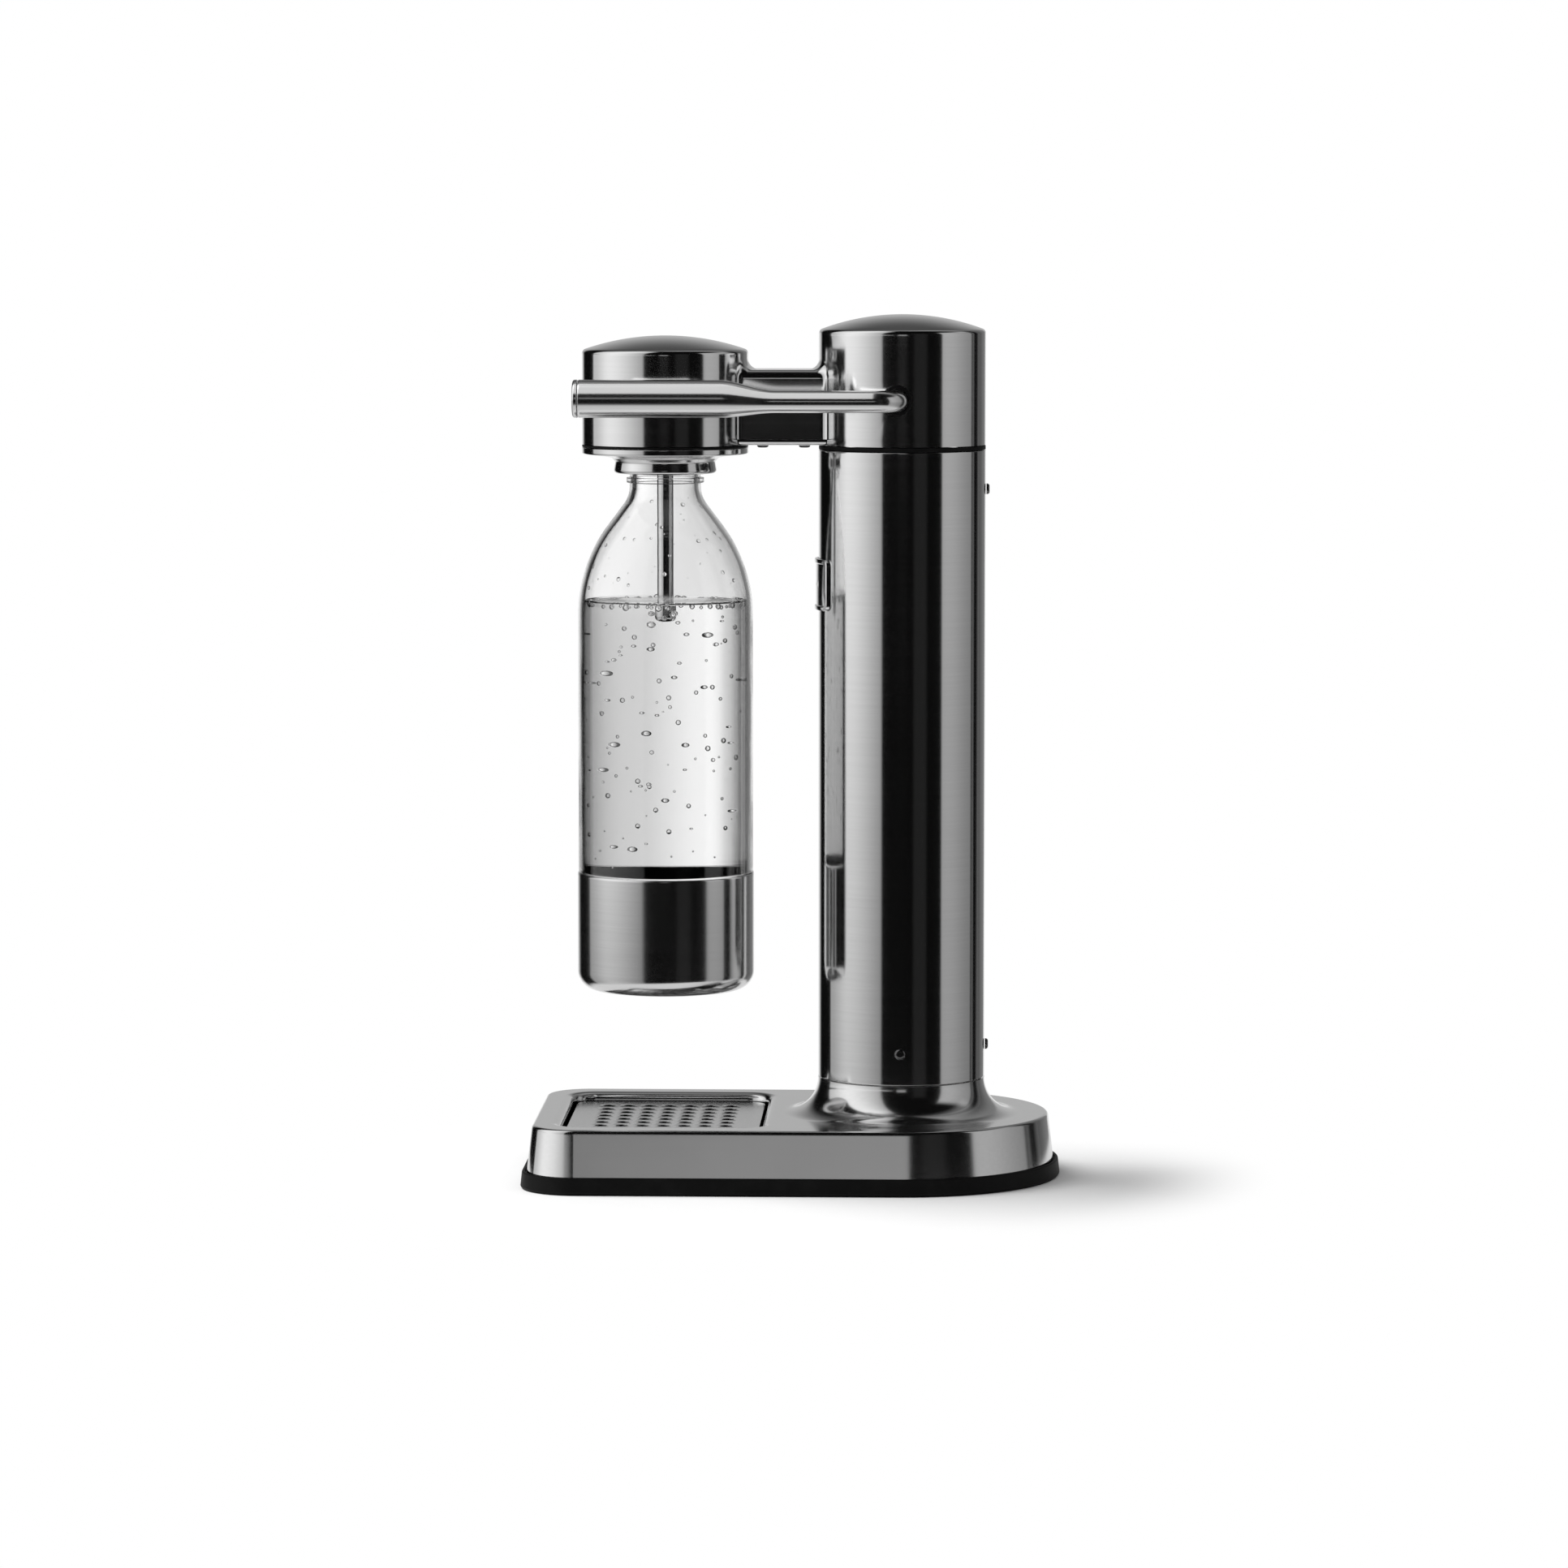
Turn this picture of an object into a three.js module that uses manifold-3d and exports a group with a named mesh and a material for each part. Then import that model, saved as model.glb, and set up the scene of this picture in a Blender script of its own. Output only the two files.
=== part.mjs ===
// Countertop sparkling water maker, in millimetres, +Z up, standing on z = 0.
// X runs along the foot: the bottle hangs towards -X, the column stands towards +X.
// The lever lies beside the head on the -Y side. The origin is the middle of the foot's underside.
import * as THREE from 'three';
import { mergeVertices } from 'three/addons/utils/BufferGeometryUtils.js';
import Module from 'manifold-3d';

const wasm = await Module();
wasm.setup();

// Fits, walls and facets
const seatGap = 0.3;
const cutOver = 2;
const sheetWall = 1.5;
const castWall = 2;
const largeSteps = 28;
const cylinderSteps = 24;
const mediumSteps = 16;
const smallSteps = 8;
const cornerSteps = 4;
const edgeSteps = 2;
const quarterTurn = Math.PI / 2;

// Foot: rubber skirt, pressed shell with the column neck, base plate
const baseLength = 257;
const baseWidth = 153;
const baseCornerRadius = 26.5;
const skirtHeight = 7;
const skirtBand = 11;
const skirtTopInset = 0.8;
const skirtLipInset = 2.2;
const skirtLipHeight = 1.3;
const skirtFootInset = 0.8;
const skirtFootHeight = 1.2;
const shellInset = 3;
const shellLean = 2.5;
const shellTop = 30.3;
const shellEdgeRadius = 1.8;
const neckFillet = 17;
const plateSheet = 1.5;
const studRadius = 4;
const studMargin = 15.5;
const studEndMargin = 33;

// Drip well and its perforated grid
const wellLength = 95.8;
const wellMargin = 20.3;
const wellCornerRadius = 10.5;
const wellFloor = 13;
const lipWidth = 4.4;
const lipDrop = 3.5;
const gridTop = 26.4;
const gridSheet = 1.5;
const gridEdgeGap = 1.2;
const gridSkirtInset = 3;
const gridHoleRadius = 2.8;
const gridHolePitchX = 10;
const gridHolePitchY = 11;
const gridHoleMargin = 11.5;

// Column: tube, foot casting and seal ring
const columnRadius = 40;
const tubeLength = 301.6;
const columnGasketHeight = 2;
const columnGasketBand = 3.2;
const cylinderPortPlay = 1.5;
const footFlangeWidth = 14;
const footFlangeHeight = 8;
const footSpigotRise = 28.7;
const footScrewMargin = 6;
const plaqueWidth = 43;
const plaqueHeight = 24.5;
const plaqueDrop = 76.2;
const plaqueSheet = 1;
const plaqueRim = 0.6;
const plaqueRimWidth = 2.2;
const plaqueCornerRadius = 3;

// Screws
const screwRadius = 1.5;
const screwPlay = 0.3;
const columnScrewHeadRadius = 2.6;
const columnScrewHeadHeight = 1.5;
const columnScrewLength = 5;
const lowerScrewRise = 15.8;
const upperScrewDrop = 18.6;
const baseScrewHeadRadius = 3.4;
const baseScrewHeadHeight = 2;
const baseScrewLength = 10;
const armScrewHeadRadius = 2.8;
const armScrewHeadHeight = 1.4;
const armScrewSpacing = 20;
const innerScrewHeadRadius = 2.8;
const innerScrewHeadHeight = 2;
const screwHeadTopShare = 0.72;

// Head: two domed caps and the arm between them, measured up from the caps' lower edges
const bottleReach = 113.5;
const columnCapRadius = 39.9;
const columnCapHeight = 62.1;
const columnCapRise = 6.7;
const nozzleCapRadius = 39.8;
const nozzleCapHeight = 51.9;
const nozzleCapRise = 6.2;
const capEdgeRadius = 2.4;
const capDomeSteps = 3;
const armHalfWidth = 18;
const armHeight = 32.9;
const armSeat = 3;
const armEdgeRadius = 4;
const armCoverHeight = 2.6;
const armCoverEdgeRadius = 2.2;
const armPadHeight = 2.1;
const armPadHalfWidth = 3.5;

// Gas cylinder and its valve
const cylinderRadius = 30;
const cylinderWall = 2;
const cylinderBottom = 6.3;
const cylinderCornerRadius = 5;
const cylinderDomeHeight = 33;
const cylinderNeckRadius = 13;
const cylinderNeckHeight = 8;
const valveSpigotRadius = 7.4;
const valveSpigotLength = 7;
const valveCollarRadius = 12.5;
const valveCollarHeight = 12.7;
const valveThreadRadius = 10.9;
const valveHeight = 40.4;
const valveMouthRadius = 3.1;
const valveMouthDepth = 3.7;
const pinRadius = 1.5;
const pinPlay = 0.4;
const pinLength = 15;

// Valve block, its carrier, the plunger and its spring
const carrierHeight = 16;
const carrierDrop = 24;
const carrierWeb = 6;
const carrierWall = 3.7;
const blockRadius = 16;
const blockSkirt = 8;
const blockFlangeRadius = 22;
const blockFlangeHeight = 3.7;
const blockClearance = 11.8;
const blockRoof = 16.3;
const valveSealHeight = 1.4;
const valveSealRadius = 8.5;
const valveSealBore = 3.2;
const plungerRadius = 2.5;
const plungerPlay = 0.4;
const plungerHeadRadius = 6;
const plungerHeadHeight = 2.3;
const plungerLength = 24.1;
const plungerTravel = 2.5;
const plungerSealRadius = 4;
const plungerSealHeight = 1.4;
const plungerSealDrop = 10.5;
const springWellRadius = 6.6;
const springWellDepth = 6;
const springWire = 0.45;
const springTurns = 4;
const springCoilRadius = 4.6;

// Lever, its shaft, cam and bearings
const pivotForward = 2;
const pivotRise = 22;
const leverTurn = 45;
const leverOffset = 54;
const leverReach = 152.2;
const leverBend = 11;
const leverRodRadius = 5.25;
const leverTaperStart = 57;
const leverGripStart = 84;
const leverGripRadius = 9;
const leverGripRise = 1.3;
const leverGripWall = 2;
const leverGripBoreStart = 92;
const leverCapThickness = 2.6;
const leverCapSpigot = 8;
const leverSteps = 16;
const shaftRadius = 5;
const shaftPlay = 0.3;
const shaftEnd = 20;
const hubRadius = 7.5;
const hubOuter = 36;
const hubInner = 22;
const hubSocketDepth = 11;
const clipThickness = 1;
const clipGrooveRadius = 4;
const clipRadius = 8;
const camRadius = 6.6;
const camThickness = 10;
const camPinRadius = 1.2;
const camLeadDegrees = 12;
const bushRadius = 7.2;
const bushFlangeRadius = 8.6;
const bushFlangeThickness = 1.5;
const grommetRadius = 7.2;
const grommetStart = 36.6;
const grommetEnd = 40.1;
const grommetPlay = 0.4;
const bracketHalfLength = 18;
const bracketSheet = 2;
const bracketEar = 16;
const bracketEarRadius = 9;
const bracketScrewX = 14.2;
const bracketScrewY = 13;
const bracketPlungerPlay = 1;
const returnWire = 0.6;
const returnCoilRadius = 6.8;
const returnTurns = 3;

// Nozzle: collar, seals, block, tube, tip and relief valve
const collarDrop = 13.9;
const collarRimRadius = 24.9;
const collarWaistRadius = 24.3;
const collarRimHeight = 5.9;
const collarFlangeRadius = 39.9;
const collarRimEdge = 2.4;
const collarFlangeHeight = 3;
const collarFlangeEdge = 0.8;
const collarSpigotRadius = 30;
const collarSpigotHeight = 5.7;
const nozzleGasketHeight = 0.9;
const bottleSealHeight = 1.6;
const bottleSealBore = 9;
const sealSeatWidth = 1.8;
const nozzleBlockHeight = 7.7;
const nozzleBossRadius = 9;
const nozzleBossHeight = 12.5;
const nozzlePortRise = 18.2;
const nozzleScrewSpacing = 50;
const nozzleTubeRadius = 3.9;
const nozzleTubeBore = 2.2;
const nozzleTipDepth = 84.1;
const nozzleTipHeight = 9;
const nozzleTipSpigot = 4;
const nozzleTipRound = 2.4;
const nozzleOrifice = 0.7;
const reliefSetback = 17.5;
const reliefChannelRadius = 1;
const reliefBoreRadius = 2.2;
const reliefBoreDepth = 6;
const reliefPinRadius = 1.6;
const reliefDiscRadius = 3.6;
const reliefDiscHeight = 1.7;
const reliefStemRadius = 1.2;
const reliefCapRadius = 7;
const reliefCapBore = 5;
const reliefCapHeight = 9;
const reliefWire = 0.4;
const reliefCoilRadius = 2.8;
const reliefTurns = 3;

// Gas hose between the two fittings
const hoseRadius = 2.5;
const hoseBore = 1.4;
const hosePortDrop = 4.5;
const gasWayRadius = 0.9;
const gasWaySetback = 13;
const hoseSteps = 9;
const hoseStraightShare = 0.06;
const fittingRadius = 4.5;
const fittingLength = 10;
const fittingSpigotRadius = 3.2;
const fittingSpigotLength = 4;
const fittingSocketDepth = 6;

// Bottle and its steel base cup
const bottleRadius = 42;
const bottleWall = 1.2;
const bottleNeckRadius = 17.1;
const bottleThreadRadius = 17;
const bottleMouthRadius = 14;
const bottleRingRadius = 18.6;
const bottleRingDrop = 17.8;
const bottleRingHeight = 2.6;
const bottleNeckHeight = 1.4;
const bottleShoulderRadius = 71.4;
const bottleNeckFillet = 15;
const bottleSlopeDegrees = 36.9;
const bottleShoulderSteps = 4;
const bottleFloor = 2;
const cupRadius = 42.5;
const cupWall = 1;
const bottleHeight = 261.7;
const cupHeight = 56.4;
const cupCornerRadius = 9;

// Places that follow from the sizes above
const columnX = (baseLength - baseWidth) / 2;
const nozzleX = columnX - bottleReach;
const pivotX = columnX - pivotForward;
const armMiddleX = (columnX + nozzleX) / 2;
const screwHole = screwRadius + screwPlay;

const shellBottom = skirtHeight + seatGap;
const neckTop = shellTop + neckFillet;
const plateTop = shellBottom + plateSheet;
const innerFloor = plateTop + seatGap;
const wellWidth = baseWidth - 2 * wellMargin;
const gridHoleColumns = Math.floor((wellLength - 2 * gridHoleMargin) / gridHolePitchX);
const gridHoleRows = Math.floor((wellWidth - 2 * gridHoleMargin) / gridHolePitchY);

const tubeTop = neckTop + seatGap + tubeLength;
const tubeBore = columnRadius - sheetWall;
const spigotRadius = tubeBore - seatGap;
const footTop = neckTop + footSpigotRise;
const footFlangeRadius = columnRadius + footFlangeWidth;
const footScrewCircle = columnRadius + footScrewMargin;
const cylinderPortRadius = cylinderRadius + cylinderPortPlay;
const plaqueBottom = tubeTop - plaqueDrop;
const lowerScrewHeight = neckTop + lowerScrewRise;
const upperScrewHeight = tubeTop - upperScrewDrop;

const casingBottom = tubeTop + columnGasketHeight + 2 * seatGap;
const columnCapCrown = casingBottom + columnCapHeight;
const columnCapShoulder = columnCapCrown - columnCapRise;
const nozzleCapCrown = casingBottom + nozzleCapHeight;
const nozzleCapShoulder = nozzleCapCrown - nozzleCapRise;
const armBottom = casingBottom + armSeat;
const armTop = armBottom + armHeight;

const pivotHeight = casingBottom + pivotRise;
const camRisePerRadian = plungerTravel / THREE.MathUtils.degToRad(leverTurn);
const plungerTop = pivotHeight - camRadius - seatGap;
const plungerBottom = plungerTop - plungerLength;
const blockTop = pivotHeight - blockClearance;
const bracketBottom = blockTop + seatGap;
const bracketTop = bracketBottom + bracketSheet;
const carrierTop = blockTop - carrierDrop;
const hosePortHeight = blockTop - hosePortDrop;
const socketTop = blockTop - blockRoof;
const valveTop = socketTop - valveSealHeight - 2 * seatGap;
const cylinderNeckTop = valveTop - valveHeight - seatGap;
const cylinderShoulder = cylinderNeckTop - cylinderNeckHeight - cylinderDomeHeight;

const neckBoreTop = casingBottom - nozzleGasketHeight - 2 * seatGap;
const collarBottom = casingBottom - collarDrop;
const collarTop = neckBoreTop + collarSpigotHeight;
const sealSeat = neckBoreTop + sealSeatWidth / 2;
const collarBore = bottleThreadRadius + seatGap;
const bottleSealRadius = collarBore + sealSeatWidth - seatGap;
const nozzleSpigotBottom = sealSeat + bottleSealHeight + 2 * seatGap;
const nozzleDiscBottom = collarTop + seatGap;
const nozzleDiscTop = nozzleDiscBottom + nozzleBlockHeight;
const nozzleBlockRadius = nozzleCapRadius - castWall - seatGap;
const nozzlePortHeight = casingBottom + nozzlePortRise;
const nozzleTubeTop = nozzlePortHeight - fittingSpigotRadius;

const bottleRim = sealSeat;
const bottleRingBottom = bottleRim - bottleRingDrop;
const bottleRingTop = bottleRingBottom + bottleRingHeight;
const bottleShoulderTop = bottleRingBottom - bottleNeckHeight;
const cupBottom = bottleRim - bottleHeight;
const cupTop = cupBottom + cupHeight;
const bottleInCupRadius = cupRadius - cupWall - seatGap;
const nozzleTipBottom = bottleRim - nozzleTipDepth;
const nozzleTubeBottom = nozzleTipBottom + nozzleTipHeight + seatGap;

// Solids and outlines

function toSolid(geometry) {
  geometry.deleteAttribute('normal');
  geometry.deleteAttribute('uv');
  const merged = mergeVertices(geometry);
  const corners = merged.index.array;
  const triangles = [];
  for (let i = 0; i < corners.length; i += 3) {
    const [a, b, c] = [corners[i], corners[i + 1], corners[i + 2]];
    if (a !== b && b !== c && c !== a) triangles.push([a, b, c]);
  }
  const vertProperties = merged.attributes.position.array;
  const build = (faces) => new wasm.Manifold(new wasm.Mesh({
    numProp: 3, vertProperties, triVerts: Uint32Array.from(faces.flat()),
  }));
  const solid = build(triangles);
  return solid.volume() > 0 ? solid : build(triangles.map(([a, b, c]) => [a, c, b]));
}

function toGeometry(solid) {
  const { vertProperties, triVerts } = solid.getMesh();
  const geometry = new THREE.BufferGeometry();
  geometry.setAttribute('position', new THREE.BufferAttribute(vertProperties, 3));
  geometry.setIndex(new THREE.BufferAttribute(triVerts, 1));
  geometry.computeVertexNormals();
  return geometry;
}

function joined(...solids) {
  return solids.reduce((whole, next) => whole.add(next));
}

function cut(solid, ...cutters) {
  return cutters.reduce((whole, cutter) => whole.subtract(cutter), solid);
}

// A closed skin over rings of equally many points, in order along the body.
function skinGeometry(rings) {
  const count = rings[0].length;
  const index = [];
  for (let ring = 0; ring < rings.length - 1; ring += 1) {
    for (let i = 0; i < count; i += 1) {
      const a = ring * count + i;
      const b = ring * count + ((i + 1) % count);
      index.push(a, b, b + count, a, b + count, a + count);
    }
  }
  const last = (rings.length - 1) * count;
  for (let i = 1; i < count - 1; i += 1) {
    index.push(0, i + 1, i, last, last + i, last + i + 1);
  }
  const geometry = new THREE.BufferGeometry();
  geometry.setAttribute('position', new THREE.Float32BufferAttribute(rings.flat(2), 3));
  geometry.setIndex(index);
  return geometry;
}

// A body over flat outlines at their heights, lowest first.
function lofted(levels) {
  return toSolid(skinGeometry(levels.map(([outline, z]) => outline.map(([x, y]) => [x, y, z]))));
}

// A body of one outline in the YZ plane, between two places along X.
function prismAlongX(outline, from, to) {
  return toSolid(skinGeometry([from, to].map((x) => outline.map(([y, z]) => [x, y, z]))));
}

// A body turned about a vertical axis from a closed outline of [radius, height] points.
function turned(outline, steps = largeSteps, x = 0) {
  const points = [...outline, outline[0]].map(([r, z]) => new THREE.Vector2(r, z));
  return toSolid(new THREE.LatheGeometry(points, steps).rotateX(quarterTurn).translate(x, 0, 0));
}

// A round bar between two points, with an end radius of its own where it tapers.
function bar(from, to, radius, steps = smallSteps, endRadius = radius) {
  const run = new THREE.Vector3(...to).sub(new THREE.Vector3(...from));
  const length = run.length();
  const geometry = new THREE.CylinderGeometry(endRadius, radius, length, steps);
  geometry.translate(0, length / 2, 0);
  const turn = new THREE.Quaternion().setFromUnitVectors(new THREE.Vector3(0, 1, 0), run.normalize());
  return toSolid(geometry.applyQuaternion(turn).translate(...from));
}

function ring(from, to, radius, bore, steps = mediumSteps) {
  const run = new THREE.Vector3(...to).sub(new THREE.Vector3(...from)).setLength(cutOver);
  const before = new THREE.Vector3(...from).sub(run).toArray();
  const after = new THREE.Vector3(...to).add(run).toArray();
  return cut(bar(from, to, radius, steps), bar(before, after, bore, steps));
}

function box([x0, x1], [y0, y1], [z0, z1]) {
  const geometry = new THREE.BoxGeometry(x1 - x0, y1 - y0, z1 - z0);
  return toSolid(geometry.translate((x0 + x1) / 2, (y0 + y1) / 2, (z0 + z1) / 2));
}

function arc(x, y, radius, from, to, steps) {
  return Array.from({ length: steps + 1 }, (_, i) => {
    const angle = from + ((to - from) * i) / steps;
    return [x + radius * Math.cos(angle), y + radius * Math.sin(angle)];
  });
}

function roundedRectangle(length, width, radius, x = 0, y = 0) {
  const [cx, cy] = [length / 2 - radius, width / 2 - radius];
  return [[1, 1], [-1, 1], [-1, -1], [1, -1]].flatMap(([sx, sy], i) => arc(
    x + sx * cx, y + sy * cy, radius, i * quarterTurn, (i + 1) * quarterTurn, cornerSteps,
  ));
}

// A helical wire about Z, between two heights of its centre line.
function coilGeometry(radius, wire, bottom, top, turns) {
  const [stepsPerTurn, sides] = [8, 5];
  const steps = stepsPerTurn * turns;
  const rings = Array.from({ length: steps + 1 }, (_, i) => {
    const angle = (2 * Math.PI * i) / stepsPerTurn;
    const z = bottom + ((top - bottom) * i) / steps;
    return Array.from({ length: sides }, (__, k) => {
      const around = (2 * Math.PI * k) / sides;
      const r = radius + wire * Math.cos(around);
      return [r * Math.cos(angle), r * Math.sin(angle), z + wire * Math.sin(around)];
    });
  });
  return skinGeometry(rings);
}

// A screw from under its head towards the end of its shank, along a unit direction.
function screw(seat, direction, headRadius, headHeight, length) {
  const along = (distance) => seat.map((value, i) => value + direction[i] * distance);
  const head = bar(along(-seatGap), along(-seatGap - headHeight), headRadius, smallSteps,
    headRadius * screwHeadTopShare);
  return joined(head, bar(along(-seatGap - headHeight / 2), along(length), screwRadius));
}

function screwBore(seat, direction, length) {
  const along = (distance) => seat.map((value, i) => value + direction[i] * distance);
  return bar(along(-cutOver), along(length + seatGap), screwHole);
}

// Foot

// The foot's outline: a half round about the column at one end, rounded corners at the other.
function baseOutline(inset) {
  const cornerX = baseCornerRadius - baseLength / 2;
  const cornerY = baseWidth / 2 - baseCornerRadius;
  const corner = baseCornerRadius - inset;
  return [
    ...arc(columnX, 0, baseWidth / 2 - inset, -quarterTurn, quarterTurn, largeSteps / 2),
    ...arc(cornerX, cornerY, corner, quarterTurn, 2 * quarterTurn, cornerSteps),
    ...arc(cornerX, -cornerY, corner, 2 * quarterTurn, 3 * quarterTurn, cornerSteps),
  ];
}

function shellBody(wall, drop) {
  const edge = shellEdgeRadius - wall;
  const levels = [[baseOutline(shellInset + wall), shellBottom - drop]];
  for (let i = 0; i <= edgeSteps; i += 1) {
    const angle = (quarterTurn * i) / edgeSteps;
    const inset = shellInset + shellLean + wall + edge * (1 - Math.cos(angle));
    levels.push([baseOutline(inset), shellTop - shellEdgeRadius + edge * Math.sin(angle)]);
  }
  return lofted(levels);
}

function neckBody(wall, rise) {
  const middle = columnRadius + neckFillet;
  const below = shellTop - 2 * sheetWall;
  const flare = arc(middle, neckTop, neckFillet + wall, 3 * quarterTurn, 2 * quarterTurn, cornerSteps);
  return turned([
    [0, below], [middle, below], ...flare,
    ...(rise ? [[columnRadius - wall, neckTop + rise]] : []), [0, neckTop + rise],
  ], largeSteps, columnX);
}

function wellOutline(grow) {
  return roundedRectangle(wellLength + 2 * grow, wellWidth + 2 * grow, wellCornerRadius + grow, nozzleX);
}

function wellTray() {
  return lofted([
    [wellOutline(sheetWall), wellFloor - sheetWall],
    [wellOutline(sheetWall), shellTop - lipDrop],
    [wellOutline(lipWidth + sheetWall), shellTop - sheetWall / 2],
  ]);
}

function wellHollow() {
  const levels = [[wellOutline(0), wellFloor]];
  for (let i = 0; i <= edgeSteps; i += 1) {
    const angle = (quarterTurn * i) / edgeSteps;
    const grow = lipWidth * (1 - Math.cos(angle));
    levels.push([wellOutline(grow), shellTop - lipDrop * (1 - Math.sin(angle))]);
  }
  levels.push([wellOutline(lipWidth), shellTop + cutOver]);
  return lofted(levels);
}

const studX = studEndMargin - baseLength / 2;
const studY = baseWidth / 2 - studMargin;
const baseScrewPlaces = [
  [studX, -studY], [studX, studY],
  [columnX, -footScrewCircle], [columnX, footScrewCircle],
];
const baseScrewSeats = baseScrewPlaces.map(([x, y]) => [x, y, shellBottom]);
const upwards = [0, 0, 1];
const downwards = [0, 0, -1];

function baseShell() {
  const skin = cut(
    joined(shellBody(0, 0), neckBody(0, 0)),
    shellBody(sheetWall, cutOver), neckBody(sheetWall, cutOver),
  );
  const studs = baseScrewPlaces.slice(0, 2).map(([x, y]) => bar(
    [x, y, innerFloor], [x, y, shellTop - sheetWall / 2], studRadius,
  ));
  const bores = baseScrewSeats.slice(0, 2).map((seat) => screwBore(seat, upwards, baseScrewLength));
  return cut(joined(skin, wellTray(), ...studs), wellHollow(), ...bores);
}

function rubberSkirt() {
  const outside = lofted([
    [baseOutline(skirtFootInset), 0],
    [baseOutline(0), skirtFootHeight],
    [baseOutline(skirtTopInset), skirtHeight + skirtLipHeight],
  ]);
  const lipTop = skirtHeight + skirtLipHeight + cutOver;
  return cut(
    outside,
    lofted([[baseOutline(skirtBand), -cutOver], [baseOutline(skirtBand), lipTop]]),
    lofted([[baseOutline(skirtLipInset), skirtHeight], [baseOutline(skirtLipInset), lipTop]]),
  );
}

function basePlate() {
  const outline = baseOutline(shellInset + sheetWall + 2 * seatGap);
  return cut(
    lofted([[outline, shellBottom], [outline, plateTop]]),
    bar([columnX, 0, 0], [columnX, 0, plateTop + cutOver], cylinderPortRadius, largeSteps),
    ...baseScrewSeats.map((seat) => screwBore(seat, upwards, baseScrewLength)),
  );
}

function dripGrid() {
  const length = wellLength - 2 * gridEdgeGap;
  const width = wellWidth - 2 * gridEdgeGap;
  const corner = wellCornerRadius - gridEdgeGap;
  const outline = (inset) => roundedRectangle(
    length - 2 * inset, width - 2 * inset, corner - inset, nozzleX,
  );
  const plateBottom = gridTop - gridSheet;
  const plate = lofted([[outline(0), plateBottom], [outline(0), gridTop]]);
  const inner = gridSkirtInset + gridSheet;
  const skirt = cut(
    lofted([[outline(gridSkirtInset), wellFloor + seatGap], [outline(gridSkirtInset), plateBottom]]),
    lofted([[outline(inner), 0], [outline(inner), gridTop]]),
  );
  const holes = [];
  for (let row = 0; row < gridHoleRows; row += 1) {
    for (let column = 0; column < gridHoleColumns; column += 1) {
      const x = nozzleX + (column - (gridHoleColumns - 1) / 2) * gridHolePitchX;
      const y = (row - (gridHoleRows - 1) / 2) * gridHolePitchY;
      holes.push(bar([x, y, plateBottom - cutOver], [x, y, gridTop + cutOver], gridHoleRadius, smallSteps));
    }
  }
  return cut(joined(plate, skirt), ...holes);
}

// Column, in places measured from its own axis

const columnScrews = {
  column_screw_near: { direction: [0, 1, 0], height: lowerScrewHeight },
  column_screw_far: { direction: [0, -1, 0], height: lowerScrewHeight },
  column_screw_back_low: { direction: [-1, 0, 0], height: lowerScrewHeight },
  column_screw_back_high: { direction: [-1, 0, 0], height: upperScrewHeight },
};

function columnScrewSeat({ direction: [x, y], height }) {
  return [-x * columnRadius, -y * columnRadius, height];
}

const columnScrewBores = Object.values(columnScrews).map((place) => screwBore(
  columnScrewSeat(place), place.direction, columnScrewLength,
));

function columnTube() {
  const bottom = neckTop + seatGap;
  const wall = turned([[tubeBore, bottom], [columnRadius, bottom], [columnRadius, tubeTop], [tubeBore, tubeTop]]);
  return cut(wall, ...columnScrewBores);
}

function columnFoot() {
  const flangeTop = innerFloor + footFlangeHeight;
  const body = turned([
    [cylinderPortRadius, innerFloor], [footFlangeRadius, innerFloor], [footFlangeRadius, flangeTop],
    [spigotRadius, flangeTop], [spigotRadius, footTop], [cylinderPortRadius, footTop],
  ]);
  const seats = [-footScrewCircle, footScrewCircle].map((y) => [0, y, shellBottom]);
  return cut(body, ...columnScrewBores, ...seats.map((seat) => screwBore(seat, upwards, baseScrewLength)));
}

function columnGasket() {
  const bottom = tubeTop + seatGap;
  return turned([
    [columnCapRadius - columnGasketBand, bottom], [columnCapRadius, bottom],
    [columnCapRadius, bottom + columnGasketHeight],
    [columnCapRadius - columnGasketBand, bottom + columnGasketHeight],
  ]);
}

// A blank raised-rim plaque that follows the round of the column, facing the bottle.
function frontPlaque() {
  const back = columnRadius + seatGap;
  const face = back + plaqueSheet;
  const front = face + plaqueRim;
  const middle = plaqueBottom + plaqueHeight / 2;
  const band = turned([
    [back, plaqueBottom - cutOver], [front, plaqueBottom - cutOver],
    [front, plaqueBottom + plaqueHeight + cutOver], [back, plaqueBottom + plaqueHeight + cutOver],
  ], 2 * largeSteps);
  const slab = (inset) => prismAlongX(roundedRectangle(
    plaqueWidth - 2 * inset, plaqueHeight - 2 * inset, plaqueCornerRadius - inset, 0, middle,
  ), -front - cutOver, 0);
  const field = bar([0, 0, 0], [0, 0, tubeTop], face, 2 * largeSteps);
  return cut(band.intersect(slab(0)), cut(slab(plaqueRimWidth), field));
}

const bracketScrewSeats = [-1, 1].map((side) => [side * bracketScrewX, side * bracketScrewY, bracketTop]);
const bracketScrewLength = bracketTop - carrierTop + carrierWeb / 2;
const bracketScrewBores = bracketScrewSeats.map((seat) => screwBore(seat, downwards, bracketScrewLength));

function valveCarrier() {
  const webBottom = carrierTop - carrierWeb;
  const wallRadius = spigotRadius - carrierWall;
  const bore = blockRadius + seatGap;
  return cut(turned([
    [bore, webBottom], [wallRadius, webBottom], [wallRadius, carrierTop - carrierHeight],
    [spigotRadius, carrierTop - carrierHeight], [spigotRadius, carrierTop], [bore, carrierTop],
  ]), ...columnScrewBores, ...bracketScrewBores);
}

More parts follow.
